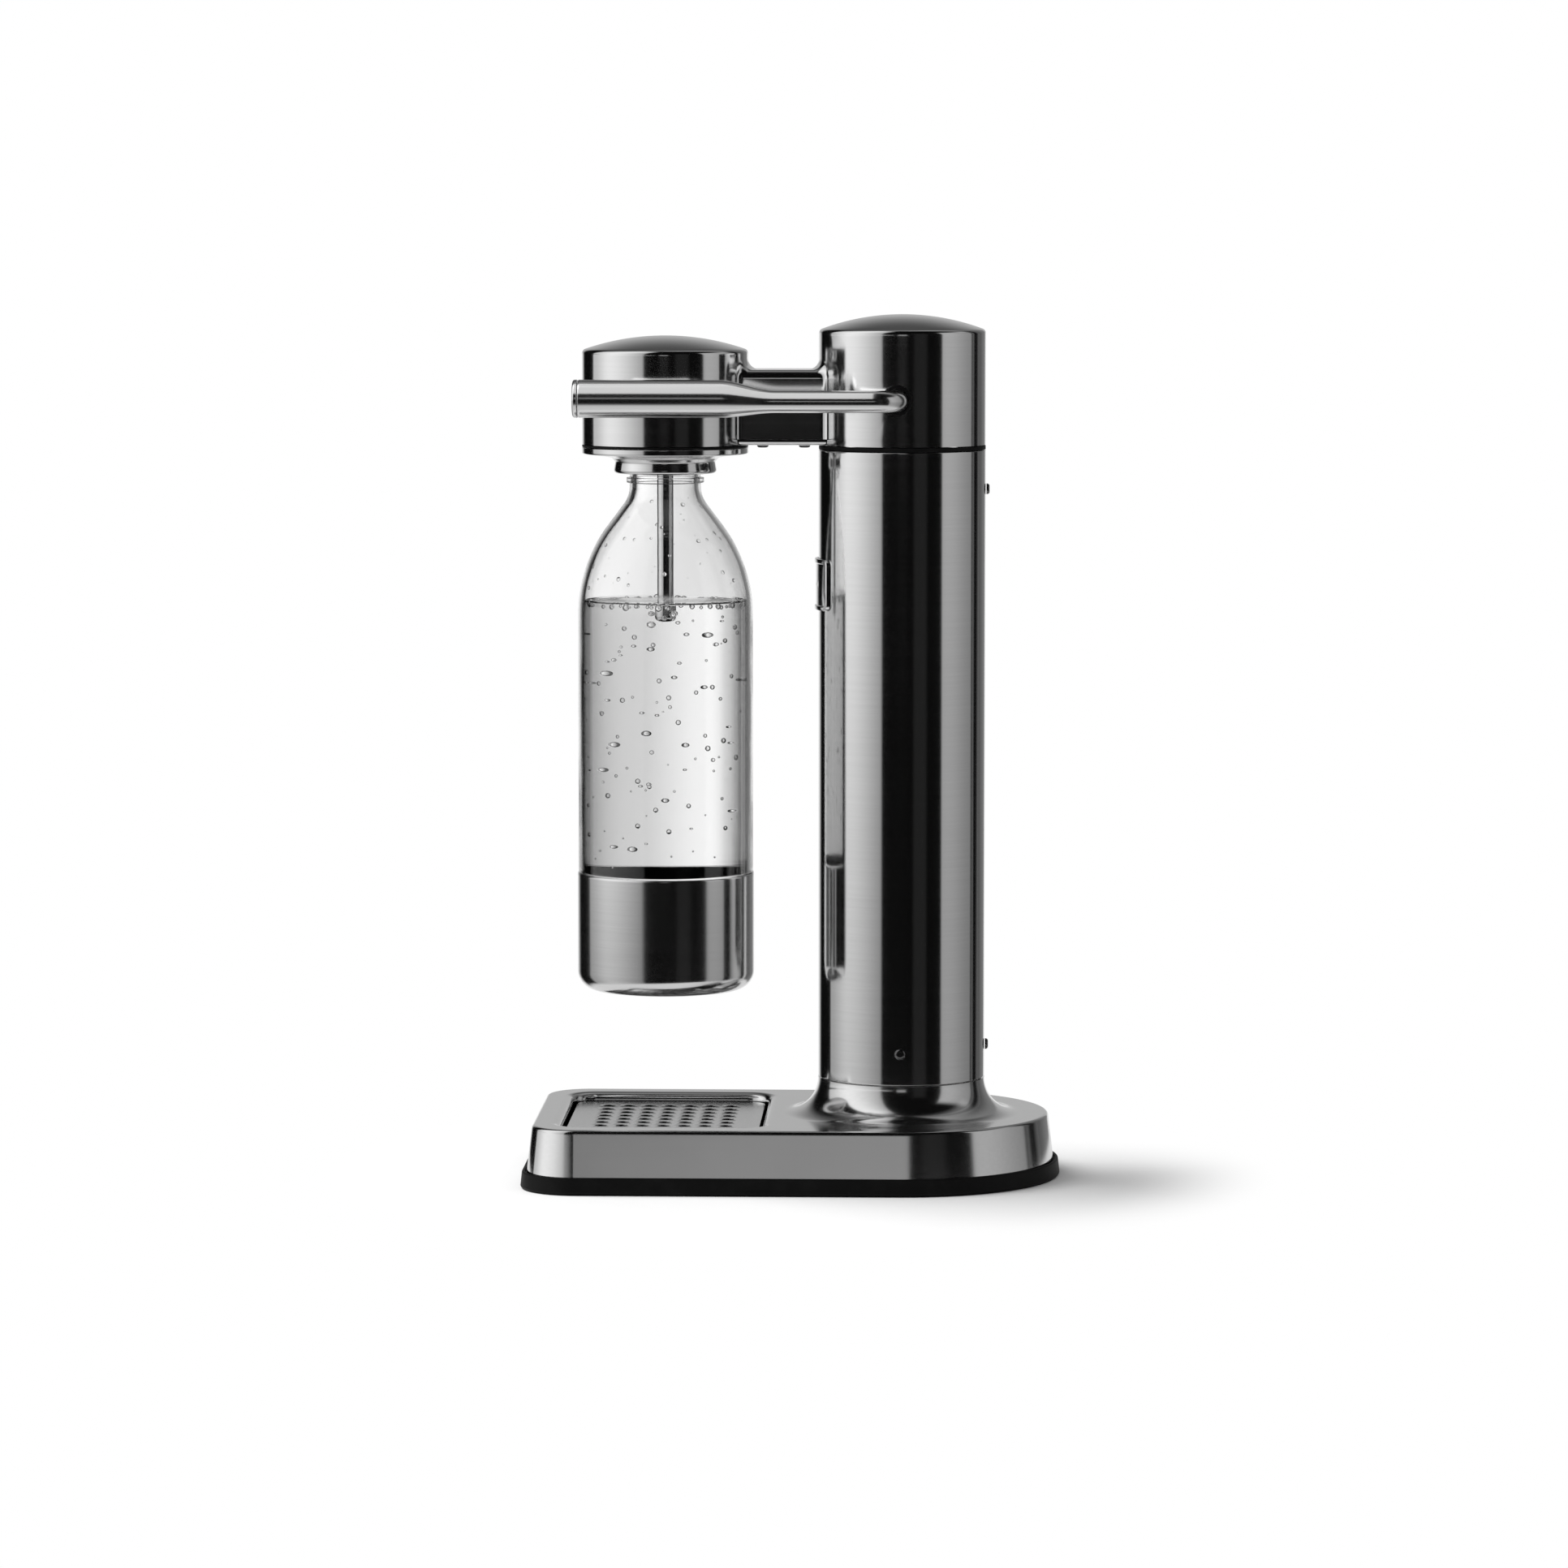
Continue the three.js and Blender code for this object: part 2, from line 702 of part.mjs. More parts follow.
function valveBlock() {
  const flangeBottom = carrierTop + seatGap;
  const stemBore = plungerRadius + plungerPlay;
  const socket = valveThreadRadius + seatGap;
  const groove = plungerSealRadius + seatGap;
  const grooveTop = blockTop - plungerSealDrop + seatGap;
  const grooveBottom = grooveTop - plungerSealHeight - 2 * seatGap;
  const body = turned([
    [socket, flangeBottom - blockSkirt], [blockRadius, flangeBottom - blockSkirt],
    [blockRadius, flangeBottom], [blockFlangeRadius, flangeBottom],
    [blockFlangeRadius, flangeBottom + blockFlangeHeight], [blockRadius, flangeBottom + blockFlangeHeight],
    [blockRadius, blockTop], [springWellRadius, blockTop], [springWellRadius, blockTop - springWellDepth],
    [stemBore, blockTop - springWellDepth], [stemBore, grooveTop], [groove, grooveTop],
    [groove, grooveBottom], [stemBore, grooveBottom], [stemBore, socketTop], [socket, socketTop],
  ], mediumSteps);
  const port = bar(
    [-blockRadius - cutOver, 0, hosePortHeight], [-blockRadius + fittingSpigotLength + seatGap, 0, hosePortHeight],
    fittingSpigotRadius + seatGap, mediumSteps,
  );
  const gasWayHeight = (socketTop + grooveBottom) / 2;
  const corner = [-gasWaySetback, 0, gasWayHeight];
  const acrossWay = bar(corner, [0, 0, gasWayHeight], gasWayRadius);
  const upWay = bar([-gasWaySetback, 0, gasWayHeight - gasWayRadius], [-gasWaySetback, 0, hosePortHeight],
    gasWayRadius);
  return cut(body, port, acrossWay, upWay, ...bracketScrewBores);
}

function flatRing(radius, bore, bottom, height, steps = mediumSteps) {
  return turned([[bore, bottom], [radius, bottom], [radius, bottom + height], [bore, bottom + height]], steps);
}

function plunger() {
  const headBottom = plungerTop - plungerHeadHeight;
  return turned([
    [0, plungerBottom], [plungerRadius, plungerBottom], [plungerRadius, headBottom],
    [plungerHeadRadius, headBottom], [plungerHeadRadius, plungerTop], [0, plungerTop],
  ], mediumSteps);
}

function plungerSpring() {
  const bottom = blockTop - springWellDepth + seatGap + springWire;
  const top = plungerTop - plungerHeadHeight - seatGap - springWire;
  return toSolid(coilGeometry(springCoilRadius, springWire, bottom, top, springTurns));
}

function gasCylinder() {
  const dome = (radius, height, lower) => arc(0, 0, 1, 0, quarterTurn, cornerSteps).map(([c, s]) => [
    radius + (cylinderRadius - cylinderNeckRadius) * c, lower + height * s,
  ]);
  const bore = valveSpigotRadius + seatGap;
  const inner = cylinderRadius - cylinderWall;
  const innerFloorHeight = cylinderBottom + cylinderWall;
  return turned([
    [0, cylinderBottom],
    ...arc(cylinderRadius - cylinderCornerRadius, cylinderBottom + cylinderCornerRadius,
      cylinderCornerRadius, -quarterTurn, 0, edgeSteps),
    ...dome(cylinderNeckRadius, cylinderDomeHeight, cylinderShoulder),
    [cylinderNeckRadius, cylinderNeckTop], [bore, cylinderNeckTop],
    [bore, cylinderShoulder + cylinderDomeHeight],
    ...dome(cylinderNeckRadius - cylinderWall, cylinderDomeHeight - cylinderWall, cylinderShoulder).reverse(),
    [inner, cylinderBottom + cylinderCornerRadius], [inner - cylinderCornerRadius, innerFloorHeight],
    [0, innerFloorHeight],
  ], cylinderSteps);
}

function cylinderValve() {
  const seat = cylinderNeckTop + seatGap;
  const pinBore = pinRadius + pinPlay;
  const pinFloor = plungerBottom - seatGap - pinLength - plungerTravel - pinPlay;
  return turned([
    [0, seat - valveSpigotLength], [valveSpigotRadius, seat - valveSpigotLength], [valveSpigotRadius, seat],
    [valveCollarRadius, seat], [valveCollarRadius, seat + valveCollarHeight],
    [valveThreadRadius, seat + valveCollarHeight], [valveThreadRadius, valveTop],
    [valveMouthRadius, valveTop], [valveMouthRadius, valveTop - valveMouthDepth],
    [pinBore, valveTop - valveMouthDepth], [pinBore, pinFloor], [0, pinFloor],
  ], mediumSteps);
}

function valvePin() {
  const top = plungerBottom - seatGap;
  return bar([0, 0, top - pinLength], [0, 0, top], pinRadius);
}

function mechanismBracket() {
  const bore = bushRadius + seatGap;
  const ears = [-1, 1].map((side) => {
    const [outer, inner] = [side * bracketEar, side * (bracketEar - bracketSheet)];
    return joined(
      box([-pivotForward - bracketEarRadius, -pivotForward + bracketEarRadius],
        [Math.min(outer, inner), Math.max(outer, inner)], [bracketBottom, pivotHeight]),
      bar([-pivotForward, inner, pivotHeight], [-pivotForward, outer, pivotHeight], bracketEarRadius, mediumSteps),
    );
  });
  const plate = box([-bracketHalfLength, bracketHalfLength], [-bracketEar, bracketEar], [bracketBottom, bracketTop]);
  const reach = bracketEar + cutOver;
  return cut(
    joined(plate, ...ears),
    bar([-pivotForward, -reach, pivotHeight], [-pivotForward, reach, pivotHeight], bore, mediumSteps),
    bar([0, 0, bracketBottom - cutOver], [0, 0, bracketTop + cutOver],
      plungerHeadRadius + bracketPlungerPlay, mediumSteps),
    ...bracketScrewBores,
  );
}

// Lever, in places measured from the middle of its pivot

function shaftBushing(side) {
  const flangeInner = bracketEar - bracketSheet - seatGap - bushFlangeThickness;
  const flangeOuter = flangeInner + bushFlangeThickness;
  const end = bracketEar + seatGap;
  return cut(
    joined(
      bar([0, side * flangeInner, 0], [0, side * flangeOuter, 0], bushFlangeRadius, mediumSteps),
      bar([0, side * flangeInner, 0], [0, side * end, 0], bushRadius, mediumSteps),
    ),
    bar([0, 0, 0], [0, side * (end + cutOver), 0], shaftRadius + shaftPlay, mediumSteps),
  );
}

const camPinHalfLength = camRadius - seatGap;
const clipPlace = bracketEar + 2 * seatGap;

function leverShaft() {
  const socketRadius = leverRodRadius + seatGap;
  const grooveStart = clipPlace - seatGap;
  const grooveEnd = clipPlace + clipThickness + seatGap;
  return cut(
    joined(
      bar([0, -hubInner, 0], [0, shaftEnd, 0], shaftRadius, mediumSteps),
      bar([0, -hubOuter, 0], [0, -hubInner, 0], hubRadius, mediumSteps),
    ),
    bar([0, -hubOuter - cutOver, 0], [0, -hubOuter + hubSocketDepth, 0], socketRadius, mediumSteps),
    ring([0, grooveStart, 0], [0, grooveEnd, 0], shaftRadius + cutOver, clipGrooveRadius),
    bar([-hubRadius, 0, 0], [hubRadius, 0, 0], camPinRadius + seatGap),
  );
}

function shaftClip() {
  const body = ring([0, clipPlace, 0], [0, clipPlace + clipThickness, 0], clipRadius, clipGrooveRadius + seatGap);
  const mouth = clipGrooveRadius;
  return cut(body, box([-mouth, mouth], [0, shaftEnd], [0, clipRadius + cutOver]));
}

// The cam's reach below the shaft grows evenly as the lever turns.
function leverCam() {
  const steps = 10;
  const lead = THREE.MathUtils.degToRad(camLeadDegrees);
  const turn = THREE.MathUtils.degToRad(leverTurn);
  const rise = Array.from({ length: steps + 1 }, (_, i) => {
    const angle = ((turn + lead) * i) / steps;
    const reach = camRadius + camRisePerRadian * angle;
    return [
      -reach * Math.sin(angle) - camRisePerRadian * Math.cos(angle),
      -reach * Math.cos(angle) + camRisePerRadian * Math.sin(angle),
    ];
  });
  const back = arc(0, 0, camRadius, 2 * quarterTurn, -quarterTurn, steps);
  const outline = [...rise, ...back];
  const half = camThickness / 2;
  const body = toSolid(skinGeometry([-half, half].map((y) => outline.map(([x, z]) => [x, y, z]))));
  return cut(
    body,
    bar([0, -half - cutOver, 0], [0, half + cutOver, 0], shaftRadius + seatGap, mediumSteps),
    bar([-2 * camRadius, 0, 0], [2 * camRadius, 0, 0], camPinRadius + seatGap),
  );
}

// One bent bar: a rod out of the pivot, a bend, a straight run that swells into the grip.
function leverArm() {
  const places = [[0, -hubOuter + hubSocketDepth - seatGap, 0]];
  places.push(...arc(-leverBend, -leverOffset + leverBend, leverBend, 0, -quarterTurn, 6)
    .map(([x, y], i) => [x, y, (i / 6) * quarterTurn]));
  const straight = (distance) => [-distance, -leverOffset, quarterTurn];
  const swellSteps = 6;
  for (let i = 0; i <= swellSteps; i += 1) {
    places.push(straight(leverTaperStart + ((leverGripStart - leverTaperStart) * i) / swellSteps));
  }
  places.push(straight(leverReach - leverCapThickness));
  const rings = places.map(([x, y, heading]) => {
    const along = (-x - leverTaperStart) / (leverGripStart - leverTaperStart);
    const swell = THREE.MathUtils.smoothstep(along, 0, 1);
    const radius = leverRodRadius + (leverGripRadius - leverRodRadius) * swell;
    return arc(0, 0, 1, 0, 2 * Math.PI, leverSteps).slice(1).map(([side, up]) => [
      x + radius * side * Math.cos(heading),
      y - radius * side * Math.sin(heading),
      radius * up + leverGripRise * swell,
    ]);
  });
  const bore = bar(
    [-leverReach - cutOver, -leverOffset, leverGripRise], [-leverGripBoreStart, -leverOffset, leverGripRise],
    leverGripRadius - leverGripWall, mediumSteps,
  );
  return cut(toSolid(skinGeometry(rings)), bore);
}

function leverCap() {
  const place = (distance) => [-distance, -leverOffset, leverGripRise];
  const inner = leverReach - leverCapThickness + seatGap;
  return joined(
    bar(place(inner), place(leverReach), leverGripRadius, mediumSteps),
    bar(place(inner - leverCapSpigot), place(leverReach - seatGap),
      leverGripRadius - leverGripWall - seatGap, mediumSteps),
  );
}

function leverSpring() {
  const from = -hubInner + seatGap + returnWire;
  const to = -bracketEar - 2 * seatGap - returnWire;
  return toSolid(coilGeometry(returnCoilRadius, returnWire, from, to, returnTurns).rotateX(-quarterTurn));
}

// Head, in the part's own frame

function capBody(x, radius, crown, shoulder, wall, drop) {
  const [outer, edge, top] = [radius - wall, capEdgeRadius, shoulder - wall];
  const domeRadius = outer - edge;
  const rise = crown - shoulder;
  const sphere = (domeRadius ** 2 + rise ** 2) / (2 * rise);
  const dome = Array.from({ length: capDomeSteps }, (_, i) => {
    const r = domeRadius * (1 - (i + 1) / capDomeSteps);
    return [r, crown - wall - sphere + Math.sqrt(sphere ** 2 - r ** 2)];
  });
  return turned([
    [0, casingBottom - drop], [outer, casingBottom - drop],
    ...arc(domeRadius, top - edge, edge, 0, quarterTurn, edgeSteps), ...dome,
  ], largeSteps, x);
}

function armOutline(inset, bottom) {
  const [half, top, edge] = [armHalfWidth - inset, armTop - inset, armEdgeRadius - inset];
  return [
    [-half, bottom], [half, bottom],
    ...arc(half - edge, top - edge, edge, 0, quarterTurn, edgeSteps),
    ...arc(-half + edge, top - edge, edge, quarterTurn, 2 * quarterTurn, edgeSteps),
  ];
}

const armScrewSeats = [-1, 1].map((side) => [
  armMiddleX + (side * armScrewSpacing) / 2, 0, armBottom - seatGap - armCoverHeight,
]);
const armScrewLength = armCoverHeight + seatGap + armPadHeight - seatGap;

// The hose runs through an opening of the arm's inner shape in each cap.
function armPassage(bottom) {
  return prismAlongX(armOutline(castWall, bottom), nozzleX, columnX);
}

function columnCap() {
  const body = (wall, drop) => capBody(
    columnX, columnCapRadius, columnCapCrown, columnCapShoulder, wall, drop,
  );
  const shaftBore = bar(
    [pivotX, -columnCapRadius - cutOver, pivotHeight], [pivotX, -hubOuter, pivotHeight],
    grommetRadius + seatGap, mediumSteps,
  );
  return cut(body(0, 0), body(castWall, cutOver), armPassage(armBottom), shaftBore);
}

function nozzleCap() {
  const body = (wall, drop) => capBody(
    nozzleX, nozzleCapRadius, nozzleCapCrown, nozzleCapShoulder, wall, drop,
  );
  return cut(body(0, 0), body(castWall, cutOver), armPassage(armBottom));
}

// The arm's channel, open below, cut round where it meets the two caps.
function armCasing() {
  const inside = armHalfWidth - castWall / 2;
  const around = (x, radius) => bar(
    [x, 0, armBottom - cutOver], [x, 0, armTop + cutOver], radius + seatGap, largeSteps,
  );
  const pads = armScrewSeats.map(([x]) => box(
    [x - armPadHalfWidth, x + armPadHalfWidth], [-inside, inside], [armBottom, armBottom + armPadHeight],
  ));
  const channel = cut(
    prismAlongX(armOutline(0, armBottom), nozzleX, columnX), armPassage(armBottom - cutOver),
    around(columnX, columnCapRadius), around(nozzleX, nozzleCapRadius),
  );
  const bores = armScrewSeats.map((seat) => screwBore(seat, upwards, armScrewLength + cutOver));
  return cut(joined(channel, ...pads), ...bores);
}

function armCover() {
  const [half, top, edge] = [armHalfWidth, armBottom - seatGap, armCoverEdgeRadius];
  const bottom = top - armCoverHeight;
  const outline = [
    [half, top], [-half, top],
    ...arc(-half + edge, bottom + edge, edge, 2 * quarterTurn, 3 * quarterTurn, edgeSteps),
    ...arc(half - edge, bottom + edge, edge, 3 * quarterTurn, 4 * quarterTurn, edgeSteps),
  ];
  const around = (x, radius) => bar([x, 0, bottom - cutOver], [x, 0, top + cutOver], radius + seatGap, largeSteps);
  return cut(
    prismAlongX(outline, nozzleX, columnX),
    around(columnX, columnCapRadius), around(nozzleX, collarFlangeRadius),
    ...armScrewSeats.map((seat) => screwBore(seat, upwards, armScrewLength)),
  );
}

// Nozzle, in places measured from the bottle's axis

const nozzleScrewSeats = [-1, 1].map((side) => [0, (side * nozzleScrewSpacing) / 2, nozzleDiscTop]);
const nozzleScrewLength = nozzleBlockHeight + collarSpigotHeight - sealSeatWidth;

function bottleCollar() {
  const flangeTop = neckBoreTop;
  const flangeBottom = flangeTop - collarFlangeHeight;
  const waist = collarBottom + collarRimHeight;
  const rim = [collarRimRadius - collarRimEdge, collarBottom + collarRimEdge];
  const body = turned([
    [collarBore, collarBottom], ...arc(...rim, collarRimEdge, -quarterTurn, 0, edgeSteps),
    [collarWaistRadius, waist], [collarSpigotRadius, (waist + flangeBottom) / 2],
    [collarFlangeRadius - collarFlangeEdge, flangeBottom], [collarFlangeRadius, flangeBottom + collarFlangeEdge],
    [collarFlangeRadius, flangeTop], [collarSpigotRadius, flangeTop], [collarSpigotRadius, collarTop],
    [collarBore + sealSeatWidth, collarTop], [collarBore + sealSeatWidth, sealSeat], [collarBore, sealSeat],
  ]);
  return cut(body, ...nozzleScrewSeats.map((seat) => screwBore(seat, downwards, nozzleScrewLength)));
}

function nozzleBlock() {
  const tubeHole = nozzleTubeRadius + seatGap;
  const boreTop = nozzlePortHeight + hoseBore;
  const body = turned([
    [tubeHole, nozzleSpigotBottom], [bottleSealRadius, nozzleSpigotBottom], [bottleSealRadius, nozzleDiscBottom],
    [nozzleBlockRadius, nozzleDiscBottom], [nozzleBlockRadius, nozzleDiscTop], [nozzleBossRadius, nozzleDiscTop],
    [nozzleBossRadius, nozzleDiscTop + nozzleBossHeight], [0, nozzleDiscTop + nozzleBossHeight],
    [0, boreTop], [tubeHole, boreTop],
  ], cylinderSteps);
  const port = bar(
    [nozzleBossRadius - fittingSpigotLength - seatGap, 0, nozzlePortHeight],
    [nozzleBossRadius + cutOver, 0, nozzlePortHeight], fittingSpigotRadius + seatGap, mediumSteps,
  );
  const gasWay = bar([0, 0, nozzlePortHeight], [nozzleBossRadius, 0, nozzlePortHeight], hoseBore);
  const channelHeight = nozzleDiscTop - reliefBoreDepth + reliefChannelRadius;
  const channelX = -(bottleSealBore + tubeHole) / 2;
  return cut(
    body, port, gasWay,
    bar([-reliefSetback, 0, nozzleDiscTop - reliefBoreDepth], [-reliefSetback, 0, nozzleDiscTop + cutOver],
      reliefBoreRadius),
    bar([-reliefSetback, 0, channelHeight], [channelX, 0, channelHeight], reliefChannelRadius, 8),
    bar([channelX, 0, nozzleSpigotBottom - cutOver], [channelX, 0, channelHeight], reliefChannelRadius, 8),
    ...nozzleScrewSeats.map((seat) => screwBore(seat, downwards, nozzleScrewLength)),
  );
}

function nozzleTip() {
  const spigot = nozzleTubeBore - seatGap;
  const seat = nozzleTipBottom + nozzleTipHeight;
  const end = [nozzleTubeRadius - nozzleTipRound, nozzleTipBottom + nozzleTipRound];
  return turned([
    [nozzleOrifice, nozzleTipBottom], ...arc(...end, nozzleTipRound, -quarterTurn, 0, edgeSteps),
    [nozzleTubeRadius, seat], [spigot, seat],
    [spigot, seat + nozzleTipSpigot], [nozzleOrifice, seat + nozzleTipSpigot],
  ], mediumSteps);
}

function fitting(x, height, side) {
  const place = (distance) => [x + side * distance, 0, height];
  const end = seatGap + fittingLength;
  return cut(
    joined(
      bar(place(-fittingSpigotLength), place(end), fittingSpigotRadius, mediumSteps),
      bar(place(seatGap), place(end), fittingRadius, mediumSteps),
    ),
    bar(place(-fittingSpigotLength - cutOver), place(end), hoseBore),
    bar(place(end - fittingSocketDepth), place(end + cutOver), hoseRadius + seatGap, mediumSteps),
  );
}

function reliefPoppet() {
  const discBottom = nozzleDiscTop + seatGap;
  const discTop = discBottom + reliefDiscHeight;
  const pinBottom = nozzleDiscTop - reliefBoreDepth / 2;
  return turned([
    [0, pinBottom], [reliefPinRadius, pinBottom], [reliefPinRadius, discBottom], [reliefDiscRadius, discBottom],
    [reliefDiscRadius, discTop], [reliefStemRadius, discTop], [reliefStemRadius, discBottom + reliefCapHeight],
    [0, discBottom + reliefCapHeight],
  ], mediumSteps);
}

function reliefCap() {
  const bottom = nozzleDiscTop + seatGap;
  const top = bottom + reliefCapHeight;
  const stemHole = reliefStemRadius + 2 * seatGap;
  return turned([
    [reliefCapBore, bottom], [reliefCapRadius, bottom], [reliefCapRadius, top],
    [stemHole, top], [stemHole, top - castWall], [reliefCapBore, top - castWall],
  ], mediumSteps);
}

function reliefSpring() {
  const bottom = nozzleDiscTop + 2 * seatGap + reliefDiscHeight + reliefWire;
  const top = nozzleDiscTop + reliefCapHeight - castWall - reliefWire;
  return toSolid(coilGeometry(reliefCoilRadius, reliefWire, bottom, top, reliefTurns));
}

// The hose leaves each fitting straight and climbs between them inside the arm.
function gasHose() {
  const socketFloor = seatGap + fittingLength - fittingSocketDepth + seatGap;
  const start = [columnX - blockRadius - socketFloor, hosePortHeight];
  const end = [nozzleX + nozzleBossRadius + socketFloor, nozzlePortHeight];
  const places = Array.from({ length: hoseSteps + 1 }, (_, i) => {
    const t = i / hoseSteps;
    const climb = THREE.MathUtils.smoothstep(t, hoseStraightShare, 1 - hoseStraightShare);
    return [start[0] + (end[0] - start[0]) * t, start[1] + (end[1] - start[1]) * climb];
  });
  const tube = (radius, over) => toSolid(skinGeometry(places.map(([x, z], i) => {
    const [before, after] = [places[Math.max(i - 1, 0)], places[Math.min(i + 1, hoseSteps)]];
    const heading = Math.atan2(after[1] - before[1], before[0] - after[0]);
    const shift = over * ((i === hoseSteps) - (i === 0));
    return arc(0, 0, radius, 0, 2 * Math.PI, 8).slice(1).map(([side, up]) => [
      x - shift + up * Math.sin(heading), side, z + up * Math.cos(heading),
    ]);
  })));
  return cut(tube(hoseRadius, 0), tube(hoseBore, cutOver));
}

// Bottle

// The shoulder is an arc that leans in from the body, a straight slope and a fillet into the neck.
function shoulder(radius, neck, grow) {
  const slope = THREE.MathUtils.degToRad(bottleSlopeDegrees);
  const [bodyArc, neckArc] = [bottleShoulderRadius - grow, bottleNeckFillet + grow];
  const run = radius - neck - (bodyArc + neckArc) * (1 - Math.cos(slope));
  const straightRise = run / Math.tan(slope);
  const arcTop = bottleShoulderTop - neckArc * Math.sin(slope) - straightRise;
  const arcBottom = arcTop - bodyArc * Math.sin(slope);
  return [
    ...arc(radius - bodyArc, arcBottom, bodyArc, 0, slope, bottleShoulderSteps),
    ...arc(neck + neckArc, bottleShoulderTop, neckArc, 2 * quarterTurn + slope, 2 * quarterTurn, edgeSteps),
  ];
}

function bottleBody() {
  const floor = cupBottom + cupWall + seatGap;
  const step = cupTop + seatGap;
  const corner = cupCornerRadius - cupWall - seatGap;
  const innerCorner = corner - bottleWall;
  const inner = bottleRadius - 2 * bottleWall;
  return turned([
    [0, floor],
    ...arc(bottleInCupRadius - corner, floor + corner, corner, -quarterTurn, 0, edgeSteps),
    [bottleInCupRadius, step], [bottleRadius, step],
    ...shoulder(bottleRadius, bottleNeckRadius, 0),
    [bottleNeckRadius, bottleRingBottom], [bottleRingRadius, bottleRingBottom], [bottleRingRadius, bottleRingTop],
    [bottleThreadRadius, bottleRingTop], [bottleThreadRadius, bottleRim], [bottleMouthRadius, bottleRim],
    ...shoulder(inner, bottleMouthRadius, bottleWall).reverse(),
    ...arc(inner - innerCorner, floor + bottleFloor + innerCorner, innerCorner, 0, -quarterTurn, edgeSteps),
    [0, floor + bottleFloor],
  ]);
}

function bottleCup() {
  const inner = cupRadius - cupWall;
  const innerCorner = cupCornerRadius - cupWall;
  return turned([
    [0, cupBottom],
    ...arc(cupRadius - cupCornerRadius, cupBottom + cupCornerRadius, cupCornerRadius, -quarterTurn, 0, edgeSteps + 1),
    [cupRadius, cupTop], [inner, cupTop],
    ...arc(inner - innerCorner, cupBottom + cupCornerRadius, innerCorner, 0, -quarterTurn, edgeSteps),
    [0, cupBottom + cupWall],
  ]);
}

// Finishes

const finish = (color, roughness, metalness) => new THREE.MeshStandardMaterial({ color, roughness, metalness });
const polishedSteel = finish(0xa9acaf, 0.16, 1);
const brushedSteel = finish(0xa3a6a9, 0.3, 1);
const springSteel = finish(0x8f9295, 0.35, 1);
const blackRubber = finish(0x0c0c0d, 0.6, 0);
const blackPlastic = finish(0x161617, 0.45, 0);
const brass = finish(0xb58f45, 0.3, 1);
const castAlloy = finish(0x8a8c8e, 0.5, 0.9);
const screwBlack = finish(0x1d1d1f, 0.35, 0.6);
const clearPlastic = new THREE.MeshStandardMaterial({
  color: 0xeef1f2, roughness: 0.05, metalness: 0, transparent: true, opacity: 0.3,
});

// Assembly

const part = new THREE.Group();
const column = new THREE.Group();
const nozzle = new THREE.Group();
const lever = new THREE.Group();
column.position.x = columnX;
nozzle.position.x = nozzleX;
lever.position.set(pivotX, 0, pivotHeight);
part.add(column, nozzle, lever);

function place(group, name, solid, material) {
  const mesh = new THREE.Mesh(toGeometry(solid), material);
  mesh.name = name;
  group.add(mesh);
  return mesh;
}

place(part, 'rubber_skirt', rubberSkirt(), blackRubber);
place(part, 'base_shell', baseShell(), polishedSteel);
place(part, 'base_plate', basePlate(), castAlloy);
place(part, 'drip_grid', dripGrid(), brushedSteel);
baseScrewSeats.forEach((seat, i) => place(part, `base_screw_${i + 1}`,
  screw(seat, upwards, baseScrewHeadRadius, baseScrewHeadHeight, baseScrewLength), screwBlack));

place(column, 'column_foot', columnFoot(), castAlloy);
place(column, 'column_tube', columnTube(), polishedSteel);
place(column, 'column_gasket', columnGasket(), blackRubber);
place(column, 'front_plaque', frontPlaque(), brushedSteel);
Object.entries(columnScrews).forEach(([name, at]) => place(column, name,
  screw(columnScrewSeat(at), at.direction, columnScrewHeadRadius, columnScrewHeadHeight, columnScrewLength),
  screwBlack));

place(column, 'gas_cylinder', gasCylinder(), brushedSteel);
place(column, 'cylinder_valve', cylinderValve(), brass);
place(column, 'valve_pin', valvePin(), springSteel);
place(column, 'valve_carrier', valveCarrier(), castAlloy);
place(column, 'valve_block', valveBlock(), brass);
place(column, 'valve_seal', flatRing(valveSealRadius, valveSealBore, valveTop + seatGap, valveSealHeight), blackRubber);
place(column, 'plunger', plunger(), springSteel);
place(column, 'plunger_seal', flatRing(plungerSealRadius, plungerRadius + seatGap,
  blockTop - plungerSealDrop - plungerSealHeight, plungerSealHeight), blackRubber);
place(column, 'plunger_spring', plungerSpring(), springSteel);
place(column, 'mechanism_bracket', mechanismBracket(), castAlloy);
bracketScrewSeats.forEach((seat, i) => place(column, `bracket_screw_${i + 1}`,
  screw(seat, downwards, innerScrewHeadRadius, innerScrewHeadHeight, bracketScrewLength), screwBlack));
place(column, 'hose_fitting_rear', fitting(-blockRadius, hosePortHeight, -1), brass);

place(lever, 'lever_shaft', leverShaft(), springSteel);
place(lever, 'lever_cam', leverCam(), springSteel);
place(lever, 'cam_pin', bar([-camPinHalfLength, 0, 0], [camPinHalfLength, 0, 0], camPinRadius), springSteel);
place(lever, 'shaft_clip', shaftClip(), springSteel);
place(lever, 'lever_spring', leverSpring(), springSteel);
place(lever, 'shaft_bushing_near', shaftBushing(-1), blackPlastic);
place(lever, 'shaft_bushing_far', shaftBushing(1), blackPlastic);
place(lever, 'shaft_grommet',
  ring([0, -grommetEnd, 0], [0, -grommetStart, 0], grommetRadius, leverRodRadius + grommetPlay), blackRubber);
place(lever, 'lever_arm', leverArm(), brushedSteel);
place(lever, 'lever_cap', leverCap(), brushedSteel);

